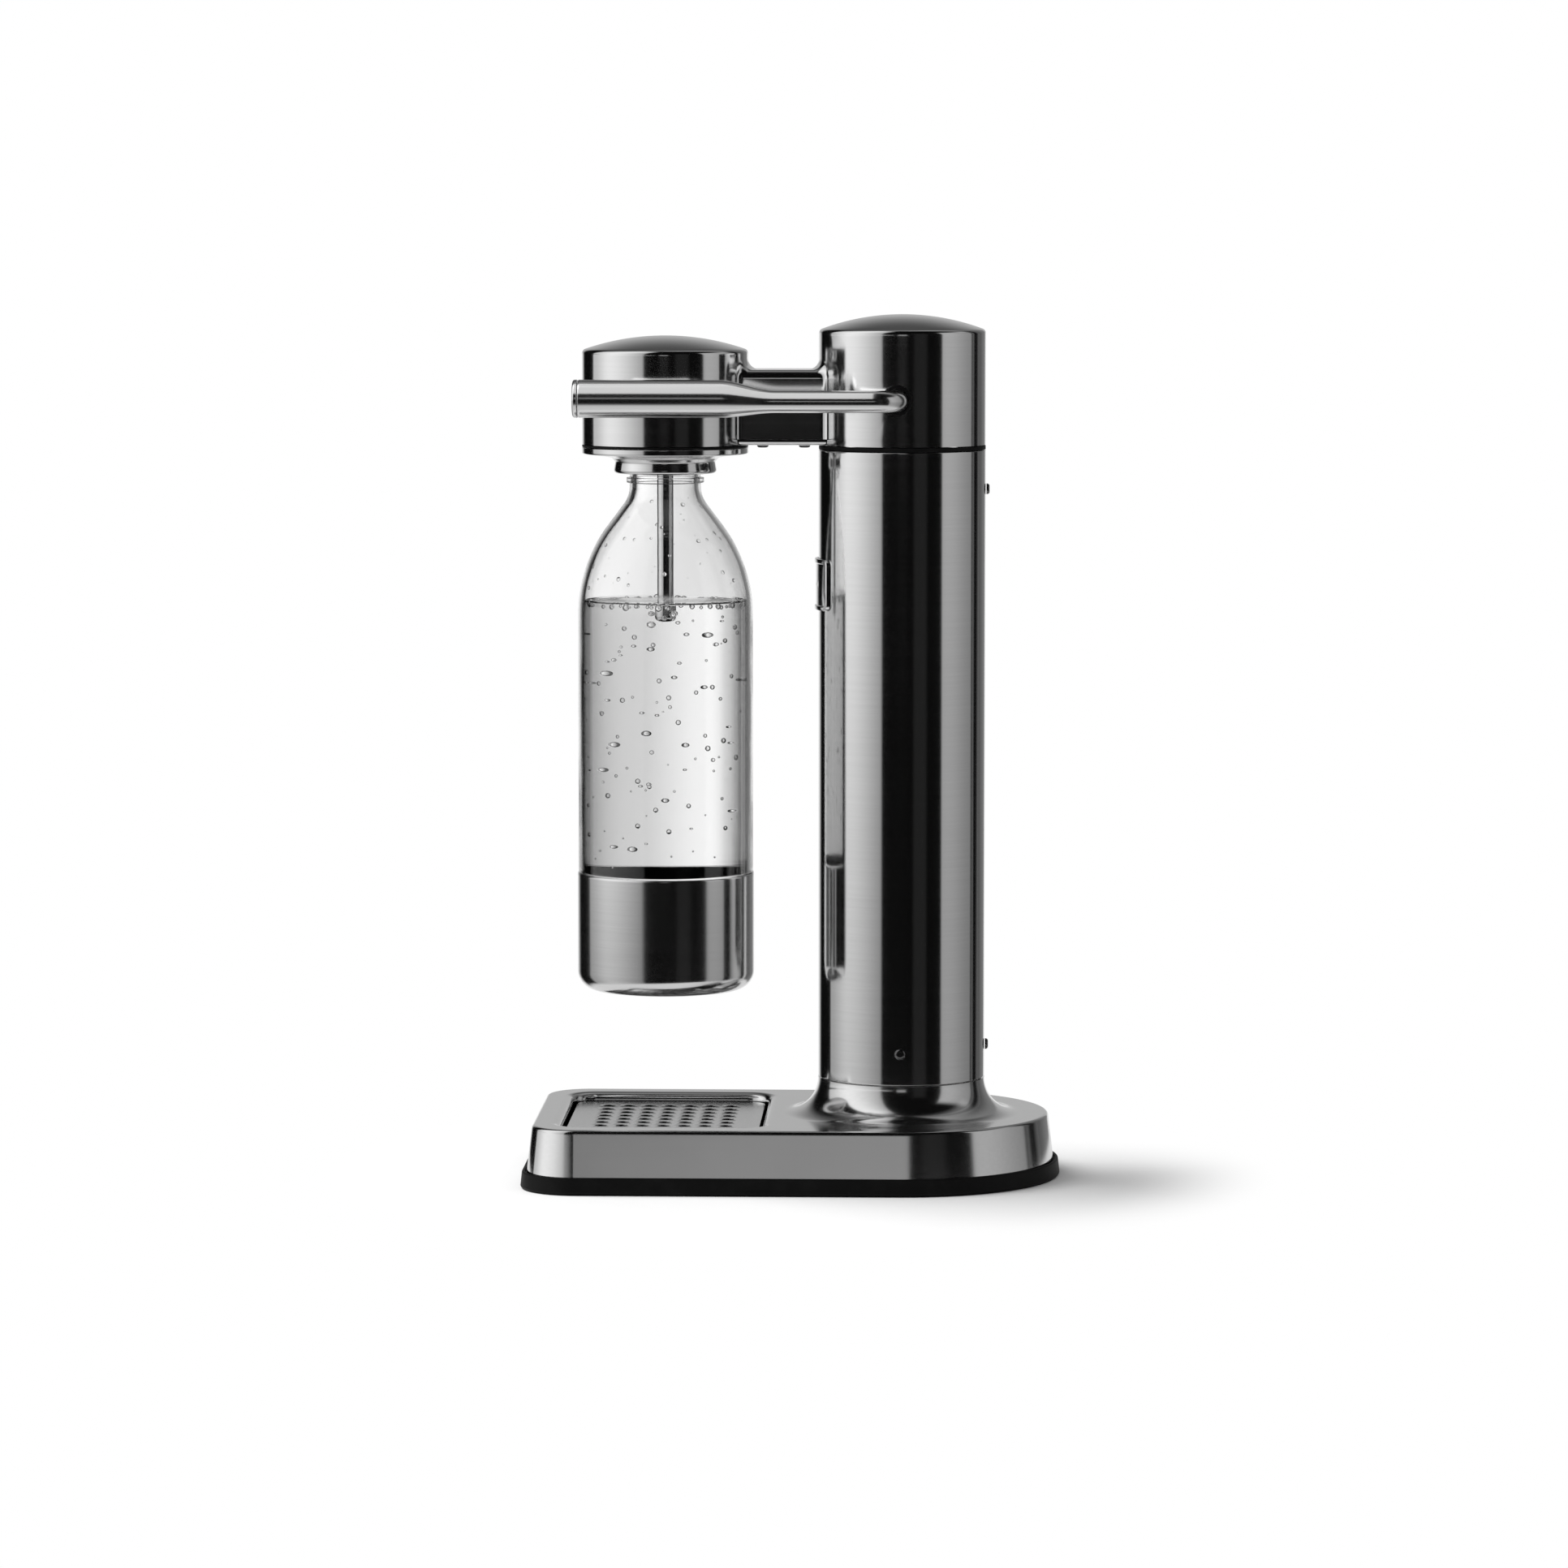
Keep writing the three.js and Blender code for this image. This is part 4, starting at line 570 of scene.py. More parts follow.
def foot_skin(wall):
    """The pressed shell: its leaning side, its top with the lipped well, and the flare to the column."""
    skin = Skin()
    lean = math.degrees(math.atan2(SHELL_LEAN, SHELL_TOP - SHELL_EDGE - SHELL_BOTTOM))
    middle_inset = SHELL_INSET + SHELL_LEAN + SHELL_EDGE
    edge = arc(0, SHELL_TOP - SHELL_EDGE, SHELL_EDGE - wall, lean, 90, 8)
    edge = [(middle_inset - r, z) for r, z in edge]
    foot = (SHELL_INSET + wall, SHELL_BOTTOM)
    near = tuple(high + (low - high) * 0.03 for high, low in zip(edge[0], foot))
    profile = [foot, near, *edge, (middle_inset + HOLD, SHELL_TOP - wall)]
    sides = [skin.level(foot_outline(inset), z) for inset, z in profile]
    skin.bridges(sides)

    profile = [(LIP_WIDTH + HOLD, SHELL_TOP)]
    for step in range(11):
        angle = math.pi / 2 * (1 - step / 10)
        profile.append((LIP_WIDTH * (1 - math.cos(angle)), SHELL_TOP - LIP_DROP * (1 - math.sin(angle))))
    profile.append((0, WELL_FLOOR + WELL_ROUND + HOLD))
    profile += [(-r, WELL_FLOOR + z) for r, z in arc(WELL_ROUND, WELL_ROUND, WELL_ROUND, 180, 270, 5)]
    lips = [skin.level(well_outline(grow + wall), z - wall) for grow, z in profile]
    skin.bridges(lips)
    skin.faces.append(tuple(lips[-1]))

    middle = TUBE_RADIUS + NECK_FLARE
    profile = arc(middle, SHELL_TOP + NECK_FLARE, NECK_FLARE + wall, 270, 180, 18)
    profile = [(middle + HOLD, SHELL_TOP - wall), *profile]
    necks = [skin.level(circle(r, 144, COLUMN_X), z) for r, z in profile]
    skin.bridges(necks)
    skin.between(sides[-1], lips[0], necks[0])
    return skin


def rubber_skirt():
    skin = Skin()
    section = eased([
        (0.8, 0, 0.5), (0, 1.2, 0.5), (0.8, LIP_TOP, 0.6), (2.2, LIP_TOP, 0.5), (2.2, SKIRT_TOP, 0.2),
        (SKIRT_BAND, SKIRT_TOP, 0.3), (SKIRT_BAND, 0, 0.3),
    ], steps=4)
    rows = [skin.level(foot_outline(inset), z) for inset, z in section]
    skin.bridges(rows + rows[:1])
    return skin


def grid_outline(inset):
    gap = GRID_GAP + inset
    corner = max(WELL_CORNER - gap, 1.0)
    return rounded_rectangle(WELL_LENGTH - 2 * gap, WELL_WIDTH - 2 * gap, corner, NOZZLE_X, 0, 8)


def grid_cell():
    """One square of the plate with its hole, the hole's edges eased."""
    skin = Skin()
    corners = ((1, 0), (1, 1), (0, 1), (-1, 1), (-1, 0), (-1, -1), (0, -1), (1, -1))
    border = [(x * PITCH_X / 2, y * PITCH_Y / 2) for x, y in corners]
    low, high = GRID_TOP - GRID_SHEET, GRID_TOP
    profile = [(HOLE_EASE, high), (0.05, high - 0.05), (0, high - HOLE_EASE), (0, low + HOLE_EASE),
               (HOLE_EASE, low)]
    rows = [skin.level(circle(HOLE_RADIUS + out, 24), z) for out, z in profile]
    skin.bridges(rows)
    skin.between(skin.level(border, high), rows[0])
    skin.between(skin.level(border, low), rows[-1])
    return skin


def grid_border():
    """The plate round the holes, its eased edge and the sides folded down from it."""
    skin = Skin()
    low = GRID_TOP - GRID_SHEET
    half_x, half_y = PITCH_X * HOLE_COLUMNS / 2, PITCH_Y * HOLE_ROWS / 2
    inner = [(NOZZLE_X - half_x + PITCH_X / 2 * i, -half_y) for i in range(2 * HOLE_COLUMNS)]
    inner += [(NOZZLE_X + half_x, -half_y + PITCH_Y / 2 * i) for i in range(2 * HOLE_ROWS)]
    inner += [(2 * NOZZLE_X - x, -y) for x, y in inner]
    section = [(GRID_EDGE + HOLD, GRID_TOP)]
    section += [(GRID_EDGE - r, GRID_TOP - GRID_EDGE + z) for r, z in arc(0, 0, GRID_EDGE, 90, 0, 4)]
    section += [(0, low), (GRID_FOLD, low), (GRID_FOLD, GRID_BOTTOM),
                (GRID_FOLD + GRID_SHEET, GRID_BOTTOM), (GRID_FOLD + GRID_SHEET, low)]
    rows = [skin.level(grid_outline(inset), z) for inset, z in section]
    skin.bridges(rows)
    skin.between(rows[0], skin.level(inner, GRID_TOP))
    skin.between(rows[-1], skin.level(inner, low))
    return skin


holes = cell_tree().make(
    bpy.data.meshes.new("grid_start"), grid_cell(), steel_punched, Columns=HOLE_COLUMNS, Rows=HOLE_ROWS,
    Length=(HOLE_COLUMNS - 1) * PITCH_X * MM, Width=(HOLE_ROWS - 1) * PITCH_Y * MM,
)
grid = tidied(holes, closed_mesh(grid_border()), (NOZZLE_X * MM, 0, 0))
shell = shelled(foot_skin, SHELL_WALL)
piece("base_shell_polished", "frame", "polished_steel", steel_top, shell, "base_shell")
piece("rubber_skirt_moulded", "frame", "black_rubber", rubber, rubber_skirt(), "rubber_skirt")
piece("drip_grid_punched", "grid", "polished_steel", steel_punched, grid, "drip_grid", sharp=25)


# Screws

def hexagon(across, steps):
    """A hexagon by the width across its flats."""
    outline = []
    for k in range(steps):
        angle = math.radians(360 * k / steps)
        turn = (angle + math.pi / 6) % (math.pi / 3) - math.pi / 6
        reach = across / 2 / math.cos(turn)
        outline.append((reach * math.cos(angle), reach * math.sin(angle)))
    return outline


def button_screw(radius, height):
    """A domed head with a hexagon socket, seated at height 0."""
    across = radius * 0.78
    rows = [(hexagon(across * out, 24), up) for out, up in ((1, 0.35), (1, 0.93), (1.07, 1))]
    dome = ((0.66, 0.99), (0.84, 0.85), (0.96, 0.55), (1, 0.25), (1, 0))
    rows += [(circle(radius * out, 24), up) for out, up in dome]
    return lofted([(x, y, height * up) for x, y in outline] for outline, up in rows)


def screws(radius, height, seats):
    """Copies of a screw on seats given as (point, outward direction)."""
    skin = Skin()
    for point, way in seats:
        point, way = Vector(point), Vector(way)
        side = way.orthogonal().normalized()
        corners = skin.row(point + side * x + way.cross(side) * y for x, y in circle(0.1, 3))
        skin.faces.append(tuple(corners))
    return fasteners.make(open_mesh(skin), button_screw(radius, height), screw_black)


fasteners = fastener_tree()
column_seats = [
    ((COLUMN_X + SCREW_REACH * x, SCREW_REACH * y, z), (x, y, 0))
    for x, y, z in ((0, -1, SCREW_LOW), (0, 1, SCREW_LOW), (1, 0, SCREW_LOW), (1, 0, SCREW_HIGH))
]
foot_places = ((-95.5, -61), (-95.5, 61), (COLUMN_X, -46), (COLUMN_X, 46))
foot_seats = [((x, y, FOOT_SEAT), (0, 0, -1)) for x, y in foot_places]
arm_seats = [((x, 0, ARM_SEAT), (0, 0, -1)) for x in (-14.75, 5.25)]
column_nodes = ["column_screw_" + place for place in ("near", "far", "back_low", "back_high")]
piece("column_screws", "frame", "black_screw", screw_black, screws(2.6, 1.5, column_seats), *column_nodes)
piece("base_screws", "frame", "black_screw", screw_black, screws(3.4, 2.0, foot_seats),
      "base_screw_1", "base_screw_2", "base_screw_3", "base_screw_4")
piece("arm_screws", "frame", "black_screw", screw_black, screws(2.8, 1.4, arm_seats),
      "arm_screw_1", "arm_screw_2")


# Column

def column_plaque():
    """A blank plaque with a raised rim that follows the round of the column."""
    skin = Skin()

    def loop(inset, reach):
        inset = min(inset, PLAQUE_HEIGHT / 2 - 0.2)
        outline = rounded_rectangle(
            PLAQUE_WIDTH - 2 * inset, PLAQUE_HEIGHT - 2 * inset, max(PLAQUE_CORNER - inset, 0.15),
            0, PLAQUE_MIDDLE, 5, (16, 6), 0.05,
        )
        return skin.row((COLUMN_X - math.sqrt(reach ** 2 - y ** 2), y, z) for y, z in outline)

    rim, field, inner = PLAQUE_RIM, PLAQUE_FIELD, PLAQUE_RIM_WIDTH
    front = [
        (0, PLAQUE_BACK), (0, rim - 0.4), (0.12, rim - 0.12), (0.4, rim),
        (inner - 0.5, rim), (inner - 0.2, rim - 0.1), (inner, field + 0.2), (inner + 0.2, field),
    ]
    fronts = [loop(*stop) for stop in front] + [loop(inset, field) for inset in (4, 6, 8, 10, 12)]
    backs = [fronts[0]] + [loop(inset, PLAQUE_BACK) for inset in (3, 6, 9, 12)]
    for rows in (fronts, backs):
        skin.bridges(rows)
        skin.between(rows[-1])
    return skin


tube = spun(ring_section(TUBE_BORE, TUBE_RADIUS, TUBE_BOTTOM, TUBE_TOP, (0, 0.15, 0.3, 0)), COLUMN_X, 144)
seal = spun(ring_section(36.7, 39.9, 349.5, 351.5, (0.2, 0.3, 0.3, 0.2), steps=4), COLUMN_X, 128)
piece("column_tube_polished", "frame", "polished_steel", steel_round, tube, "column_tube")
piece("column_seal", "frame", "black_rubber", rubber, seal, "column_gasket")
piece("front_plaque_blank", "frame", "polished_steel", steel_long, column_plaque(),
      "front_plaque", sharp=40)


# Head

def arm_section(wall):
    """The arm's section from its near lower edge over the top to the far one: y, z and the way out."""
    half, top, edge = ARM_HALF - wall, ARM_TOP - wall, ARM_EDGE - wall
    corner = ARM_TOP - ARM_EDGE
    heights = [ARM_BOTTOM + (corner - ARM_BOTTOM) * k / 8 for k in range(8)] + [corner - HOLD, corner]
    near = [(-half, z, -1.0, 0.0) for z in heights]
    near += [(edge - half + edge * c, corner + edge * s, c, s) for c, s in arc(0, 0, 1, 180, 90, 10)[1:]]
    flat = [((half - edge) * k, top, 0.0, 1.0) for k in (-0.96, -0.6, -0.2, 0.2, 0.6, 0.96)]
    return near + flat + [(-y, z, -ny, nz) for y, z, ny, nz in reversed(near)], heights


def arm_fillet(skin, section, middle, facing, reach, roll, steps=8):
    """The round between arm and cap. Returns its first row and where it ends: angle and height."""
    rows, ends = [[] for _ in range(steps + 1)], []
    for y, z, ny, nz in section:
        side, up = y + roll * ny, z + roll * nz
        out = math.sqrt(reach ** 2 - side ** 2)
        first, last = np.array((0, -ny, -nz)), np.array((-out, -side, 0)) / reach
        sweep = math.acos(np.clip(first @ last, -1, 1))
        for k, row in enumerate(rows):
            t = k / steps
            mixed = (first * math.sin((1 - t) * sweep) + last * math.sin(t * sweep)) / math.sin(sweep)
            spot = np.array((out, side, up)) + roll * mixed
            row.append((middle + facing * spot[0], spot[1], spot[2]))
        ends.append((math.atan2(side, out), up))
    rows = [skin.row(row) for row in rows]
    skin.bridges(rows, closed=False)
    return rows[0], ends


def shaft_opening(skin, loop, middle, radius):
    """Fills a loop on a cap's wall as far as the round hole for the lever's shaft."""
    rows = [loop]
    for share in (0.66, 0.33, 0.06, 0.0):
        ring = []
        for i in loop:
            x, _, z = skin.points[i]
            away = Vector((x - PIVOT[0], z - PIVOT[1]))
            edge = away.normalized() * SHAFT_HOLE
            spot = edge + (away - edge) * share
            x, z = spot[0] + PIVOT[0], spot[1] + PIVOT[1]
            ring.append((x, -math.sqrt(radius ** 2 - (x - middle) ** 2), z))
        rows.append(skin.row(ring))
    skin.bridges(rows)


def cap_skin(skin, wall, middle, facing, radius, crown, shoulder, shaft=False):
    """One round cap with the fillet that leads into the arm. Returns the fillet's first row."""
    section, heights = arm_section(wall)
    start_row, ends = arm_fillet(skin, section, middle, facing, radius + ARM_FILLET, ARM_FILLET + wall)

    def at(angle, height, reach=radius - wall):
        return (middle + facing * reach * math.cos(angle), reach * math.sin(angle), height)

    inside = ends[len(heights) - 1:len(ends) - len(heights) + 1]
    start, steps, beside = inside[-1][0], 112, math.radians(0.6)
    end = 2 * math.pi - start
    outside = [start + (end - start) * k / steps for k in range(1, steps)]
    outside = [start + beside, *outside, end - beside]
    spokes = [angle for angle, _ in inside] + outside
    lows = [z for _, z in inside] + [heights[-1]] * len(outside)
    skin.bridges([skin.row(at(angle, z) for angle in spokes) for z in (CASING_BOTTOM, ARM_BOTTOM)])

    around = [start, *outside, end]
    columns = [skin.row(at(angle, z) for angle in around) for z in heights]
    window = range(0)
    if shaft:
        across = 2 * math.pi - math.acos(facing * (PIVOT[0] - middle) / (radius - wall))
        nearest = min(range(len(around)), key=lambda i: abs(around[i] - across))
        window = range(nearest - 6, nearest + 6)
    for below, above in zip(columns, columns[1:]):
        for i in range(len(around) - 1):
            if i not in window:
                skin.faces.append((below[i], below[i + 1], above[i + 1], above[i]))
    if shaft:
        a, b = window[0], window[-1] + 1
        loop = [columns[0][i] for i in range(a, b)] + [row[b] for row in columns[:-1]]
        loop += [columns[-1][i] for i in range(b, a, -1)] + [row[a] for row in reversed(columns[1:])]
        shaft_opening(skin, loop, middle, radius - wall)

    wall_top = shoulder - CASING_EDGE
    lean, rise = radius - CASING_EDGE, crown - wall_top
    ball = (lean ** 2 + rise ** 2 - CASING_EDGE ** 2) / (2 * (rise - CASING_EDGE))
    tilt = math.asin(lean / (ball - CASING_EDGE))
    rows = [
        skin.row(at(a, z + (wall_top - z) * share) for a, z in zip(spokes, lows))
        for share in (0.0, 0.03, 0.35, 0.7, 0.96, 1.0)
    ]
    dome = arc(lean, wall_top, CASING_EDGE - wall, 0, 90 - math.degrees(tilt), 8)[1:]
    for k in range(1, 14):
        angle = tilt * (1 - k / 14)
        dome.append(((ball - wall) * math.sin(angle), crown - ball + (ball - wall) * math.cos(angle)))
    rows += [skin.row(at(a, z, out) for a in spokes) for out, z in dome]
    rows.append(skin.row([(middle, 0, crown - wall)]) * len(spokes))
    skin.bridges(rows)
    return start_row


def casing_skin(wall):
    """Both caps, and the arm between them from fillet to fillet."""
    skin = Skin()
    rear = cap_skin(skin, wall, *REAR_CAP, shaft=True)
    front = cap_skin(skin, wall, *FRONT_CAP)
    rows = [rear]
    for share in (0.02, 0.5, 0.98):
        rows.append(skin.row(
            np.array(skin.points[a]) * (1 - share) + np.array(skin.points[b]) * share
            for a, b in zip(rear, front)))
    skin.bridges([*rows, front], closed=False)
    return skin


def under_cover():
    """The cover under the arm, cut round where it meets the two round caps."""
    edge_y, edge_z = ARM_HALF - COVER_EDGE, COVER_BOTTOM + COVER_EDGE
    section = [
        (-ARM_HALF, COVER_TOP), *arc(-edge_y, edge_z, COVER_EDGE, 180, 270, 6),
        *((ARM_HALF * k, COVER_BOTTOM) for k in (-0.5, 0, 0.5)),
        *arc(edge_y, edge_z, COVER_EDGE, 270, 360, 6), (ARM_HALF, COVER_TOP),
        *((ARM_HALF * k, COVER_TOP) for k in (0.5, 0, -0.5)),
    ]
    return lofted(
        [(x + facing * math.sqrt(COVER_CUT ** 2 - y * y), y, z) for y, z in section]
        for x, facing in ((COLUMN_X, -1), (NOZZLE_X, 1)))


piece("head_casing_polished", "frame", "polished_steel", steel_long, shelled(casing_skin, CASING_WALL),
      "column_cap", "nozzle_cap", "arm_casing", sharp=40)
piece("arm_cover_folded", "frame", "brushed_steel", steel_long, under_cover(), "arm_cover")


# Lever

def lever_bar():
    """One bent bar: out of the pivot, round a bend, then a straight run that swells into the grip."""
    bend_y = LEVER_BEND - LEVER_SIDE
    stops = [(0, -LEVER_START, 0, 0), (0, bend_y + HOLD, 0, 0)]  # x, y, heading, how far the end is eased
    for k, (x, y) in enumerate(arc(-LEVER_BEND, bend_y, LEVER_BEND, 0, -90, 16)):
        stops.append((x, y, 90 * k / 16, 0))
    swelling = [SWELL_START + SWELL_LENGTH * k / 20 for k in range(21)]
    runs = [LEVER_BEND + HOLD, SWELL_START - 6, *swelling, 92, 120, LEVER_END - 1, LEVER_END - 0.5]
    stops += [(-run, -LEVER_SIDE, 90, 0) for run in runs]
    stops += [(0.1 - LEVER_END, -LEVER_SIDE, 90, 0.12), (-LEVER_END, -LEVER_SIDE, 90, 0.4)]
    rows = []
    for x, y, heading, ease in stops:
        along = min(max((-x - SWELL_START) / SWELL_LENGTH, 0), 1)
        swell = along * along * (3 - 2 * along)
        radius = ROD_RADIUS + (GRIP_RADIUS - ROD_RADIUS) * swell - ease
        c, s = math.cos(math.radians(heading)), math.sin(math.radians(heading))
        middle_z = PIVOT[1] + GRIP_RISE * swell
        rows.append([(PIVOT[0] + x + u * c, y - u * s, middle_z + v) for u, v in circle(radius, 48)])
    return lofted(rows)


def along_grip(skin):
    """Lays an upright turned shape along -X at the lever's grip."""
    return skin.moved(lambda x, y, h: (PIVOT[0] - h, x - LEVER_SIDE, y + PIVOT[1] + GRIP_RISE))


def along_shaft(skin):
    """Lays an upright turned shape along -Y about the lever's shaft."""
    return skin.moved(lambda x, y, h: (PIVOT[0] + x, -h, PIVOT[1] + y))


end_cap = eased([(0, END_CAP_START, 0), (GRIP_RADIUS, END_CAP_START, 0.4),
                 (GRIP_RADIUS, END_CAP_END, 1.0), (0, END_CAP_END, 0)])
bush = ring_section(5.65, 7.2, 36.6, 40.1, (0.2, 0.2, 0.5, 0.5), steps=4, hold=0.1)
piece("lever_bar", "lever", "polished_steel", steel_rod, lever_bar(), "lever_arm")
piece("lever_end_cap", "lever", "polished_steel", steel_rod, along_grip(spun(end_cap, 0, 64)), "lever_cap")
piece("shaft_bush_ring", "frame", "black_rubber", rubber, along_shaft(spun(bush, 0, 64)), "shaft_grommet")


# Nozzle. Each corner is given by its radius from the axis, its height and its round.

nozzle_seal = ring_section(30.3, 39.8, 350.6, 351.5, (0.1, 0.2, 0.2, 0.1), hold=0.1)
collar = eased([
    (17.3, 337.9, 0.3), (24.9, 337.9, 1.6), (24.0, 343.4, 1.2), (25.7, 345.4, 1.5), (30.0, 346.3, 3.0),
    (39.9, 347.3, 0.8), (39.9, 350.3, 0.3), (30.0, 350.3, 0), (30.0, 356.0, 0), (19.1, 356.0, 0),
    (19.1, 351.2, 0), (17.3, 351.2, 0),
], hold=0.15)
nozzle_tube = ring_section(2.2, 3.9, 276.4, 366.8, (0, 0, 0, 0))
nozzle_tip = eased([
    (0.7, 267.1, 0.1), (3.9, 267.1, 2.4), (3.9, 276.1, 0.1),
    (1.9, 276.1, 0.1), (1.9, 280.1, 0.2), (0.7, 280.1, 0.1),
], hold=0.1)
piece("nozzle_seal", "frame", "black_rubber", rubber, spun(nozzle_seal, NOZZLE_X, 128), "nozzle_gasket")
for name, outline, steps, node in (
    ("bottle_collar_polished", collar, 128, "bottle_collar"),
    ("nozzle_tube_drawn", nozzle_tube, 48, "nozzle_tube"),
    ("nozzle_tip_turned", nozzle_tip, 48, "nozzle_tip"),
):
    piece(name, "frame", "polished_steel", steel_round, spun(outline, NOZZLE_X, steps), node)


# Bottle

def shoulder(radius, neck, grow, steps=16):
    """The bottle's shoulder: an arc in from the body, a straight slope and a round into the neck."""
    slope = math.radians(SHOULDER_SLOPE)
    body_arc, neck_arc = SHOULDER_ROUND - grow, NECK_ROUND + grow
    run = radius - neck - (body_arc + neck_arc) * (1 - math.cos(slope))
    arc_top = SHOULDER_TOP - neck_arc * math.sin(slope) - run / math.tan(slope)
    arc_bottom = arc_top - body_arc * math.sin(slope)
    return [
        *arc(radius - body_arc, arc_bottom, body_arc, 0, SHOULDER_SLOPE, steps),
        *arc(neck + neck_arc, SHOULDER_TOP, neck_arc, 180 + SHOULDER_SLOPE, 180, steps // 2),
    ]


def inside_profile(inset):
    """The bottle's inside from the floor's middle up to the mouth, moved in by an inset."""
    radius, corner, floor = BOTTLE_INSIDE - inset, 5.5, BOTTLE_FLOOR + inset
    return [
        (0, floor), *arc(radius - corner, floor + corner, corner, -90, 0, 10),
        *shoulder(radius, MOUTH_RADIUS - inset, BOTTLE_WALL + inset),
    ]


def cut_at(profile, height):
    """The part of a rising profile below a height, ended exactly there."""
    kept = [p for p in profile if p[1] < height]
    (r0, z0), (r1, z1) = kept[-1], profile[len(kept)]
    share = (height - z0) / (z1 - z0)
    return kept + [(r0 + (r1 - r0) * share, height)]


def bottle_outline():
    """The body in its cup, a small step out above it, the shoulder, the ringed neck and the inside."""
    corner, ring, neck = 6.7, 18.6, 17.0
    steps_out = ((0, -0.6), (0, -0.1), (0.15, 0.25), (0.6, 0.35), (0.8, 0.7), (0.8, 1.2))
    return [
        (0, BOTTLE_BOTTOM), *arc(IN_CUP - corner, BOTTLE_BOTTOM + corner, corner, -90, 0, 10),
        *((IN_CUP + out, CUP_TOP + up) for out, up in steps_out),
        *shoulder(BOTTLE_RADIUS, NECK_RADIUS, 0.0),
        *eased([
            (NECK_RADIUS, 332.8, 0), (NECK_RADIUS, 333.4, 0.2), (ring, 333.4, 0.5), (ring, 336.0, 0.5),
            (neck, 336.0, 0.2), (neck, BOTTLE_RIM, 0.6), (MOUTH_RADIUS, BOTTLE_RIM, 0.6),
            (MOUTH_RADIUS, 333, 0),
        ], steps=5, hold=0.1),
        *reversed(inside_profile(0.0)),
    ]


def cup_outline():
    corner = 9.0
    rim = ((0, 1.1), (0, 0.7), (0.06, 0.3), (0.3, 0), (0.8, 0), (CUP_WALL, 0.2))
    middle, height, bore = CUP_RADIUS - corner, CUP_BOTTOM + corner, corner - CUP_WALL
    return [
        (0, CUP_BOTTOM), *arc(middle, height, corner, -90, 0, 12),
        *((CUP_RADIUS - cut, CUP_TOP - drop) for cut, drop in rim),
        *arc(middle, height, bore, 0, -90, 10), (0, CUP_BOTTOM + CUP_WALL),
    ]


def water_outline():
    """The bottle's inside up to the water's top, which curves up to the wall."""
    profile = cut_at(inside_profile(0.05), WATER_TOP)
    wall = profile[-1][0]
    return profile + [(wall - 0.6, WATER_TOP - 0.7), (wall - 2.2, WATER_TOP - 1.1),
                      (6.0, WATER_TOP - 1.2), (0, WATER_TOP - 1.2)]


def ball(flat=1.0):
    """A ball of 1 mm radius, or a flatter drop, with few faces."""
    side = [(r, flat * z) for r, z in arc(0, 0, 1, -60, 60, 4)]
    return spun([(0, -flat), *side, (0, flat)], 0, 12)


def wall_patch(profile, low, high):
    """An open sheet inside the bottle between two heights, for bubbles to sit on."""
    part = [p for p in profile if low < p[1] < high]
    part = [(part[0][0], low), *part, (part[-1][0], high)]
    skin = Skin()
    skin.bridges([skin.level(circle(r, 36, NOZZLE_X), z) for r, z in part])
    return open_mesh(skin)


def straight_patch(radius, low, high):
    return wall_patch([(radius, low + (high - low) * k / 4) for k in range(1, 4)], low, high)


bottle, cup = spun(bottle_outline(), NOZZLE_X, 144), spun(cup_outline(), NOZZLE_X, 144)
piece("bottle_blown", "bottle", "clear_plastic", bottle_clear, bottle, "bottle_body")
piece("bottle_cup_drawn", "bottle", "brushed_steel", steel_cup, cup, "bottle_cup")
piece("water_fill", "bottle", "clear_plastic", water_clear, spun(water_outline(), NOZZLE_X, 144))

SCATTERED = (  # name, where, shape, finish, copies per square metre, smallest and largest size, seed
    ("wall_bubbles", straight_patch(38.0, 150, 273), ball(), bubble_clear, 5400.0, 0.45, 1.45, 3),
    ("rising_bubbles", straight_patch(24, 155, 268), ball(), bubble_clear, 1400.0, 0.35, 1.1, 11),
    ("foam_row", straight_patch(37.4, 275.2, 276.2), ball(), bubble_clear, 300000.0, 0.8, 1.9, 5),
    ("tip_bubbles", straight_patch(5.2, 265.5, 272), ball(), bubble_clear, 42000.0, 0.7, 1.7, 7),
    ("wall_drops", wall_patch(inside_profile(0.25), 282, 328), ball(0.45), drop_clear, 6500.0, 0.3, 1.2, 9),
)
scatter = scatter_tree()
for name, patch, shape, finish, *values in SCATTERED:
    values = dict(zip(("Density", "Smallest", "Largest", "Seed"), values))
    piece(name, "bottle", "clear_plastic", finish, scatter.make(patch, shape, finish, **values))


# Gas cylinder

corners = ((0, 6.3, 0), (30, 6.3, 5), (30, 262, 6), (13, 295, 8), (13, 303, 0.3), (0, 303, 0))
cylinder = spun(eased(corners, steps=10), COLUMN_X, 96)
piece("gas_cylinder_painted", "cylinder", "cast_alloy", alloy, cylinder, "gas_cylinder")


# Finishes of the pieces that keep their own shape

KEPT = {
    steel_drawn: ("plunger", "plunger_spring", "lever_shaft", "cam_pin", "shaft_clip",
                  "lever_spring", "relief_spring", "lever_cam", "valve_pin"),
    brass: ("cylinder_valve", "relief_poppet", "relief_cap", "hose_fitting_rear", "hose_fitting_front"),
    alloy: ("column_foot", "valve_carrier", "valve_block", "nozzle_block"),
    rubber: ("valve_seal", "plunger_seal", "bottle_seal", "gas_hose"),
    plastic: ("base_plate", "shaft_bushing_near", "shaft_bushing_far"),
    steel_plate: ("mechanism_bracket",),
    screw_black: ("bracket_screw_1", "bracket_screw_2", "nozzle_screw_1", "nozzle_screw_2"),
}
for finish, names in KEPT.items():
    for name in names:
        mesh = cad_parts[name].data
        mesh.materials.clear()
        mesh.materials.append(finish)


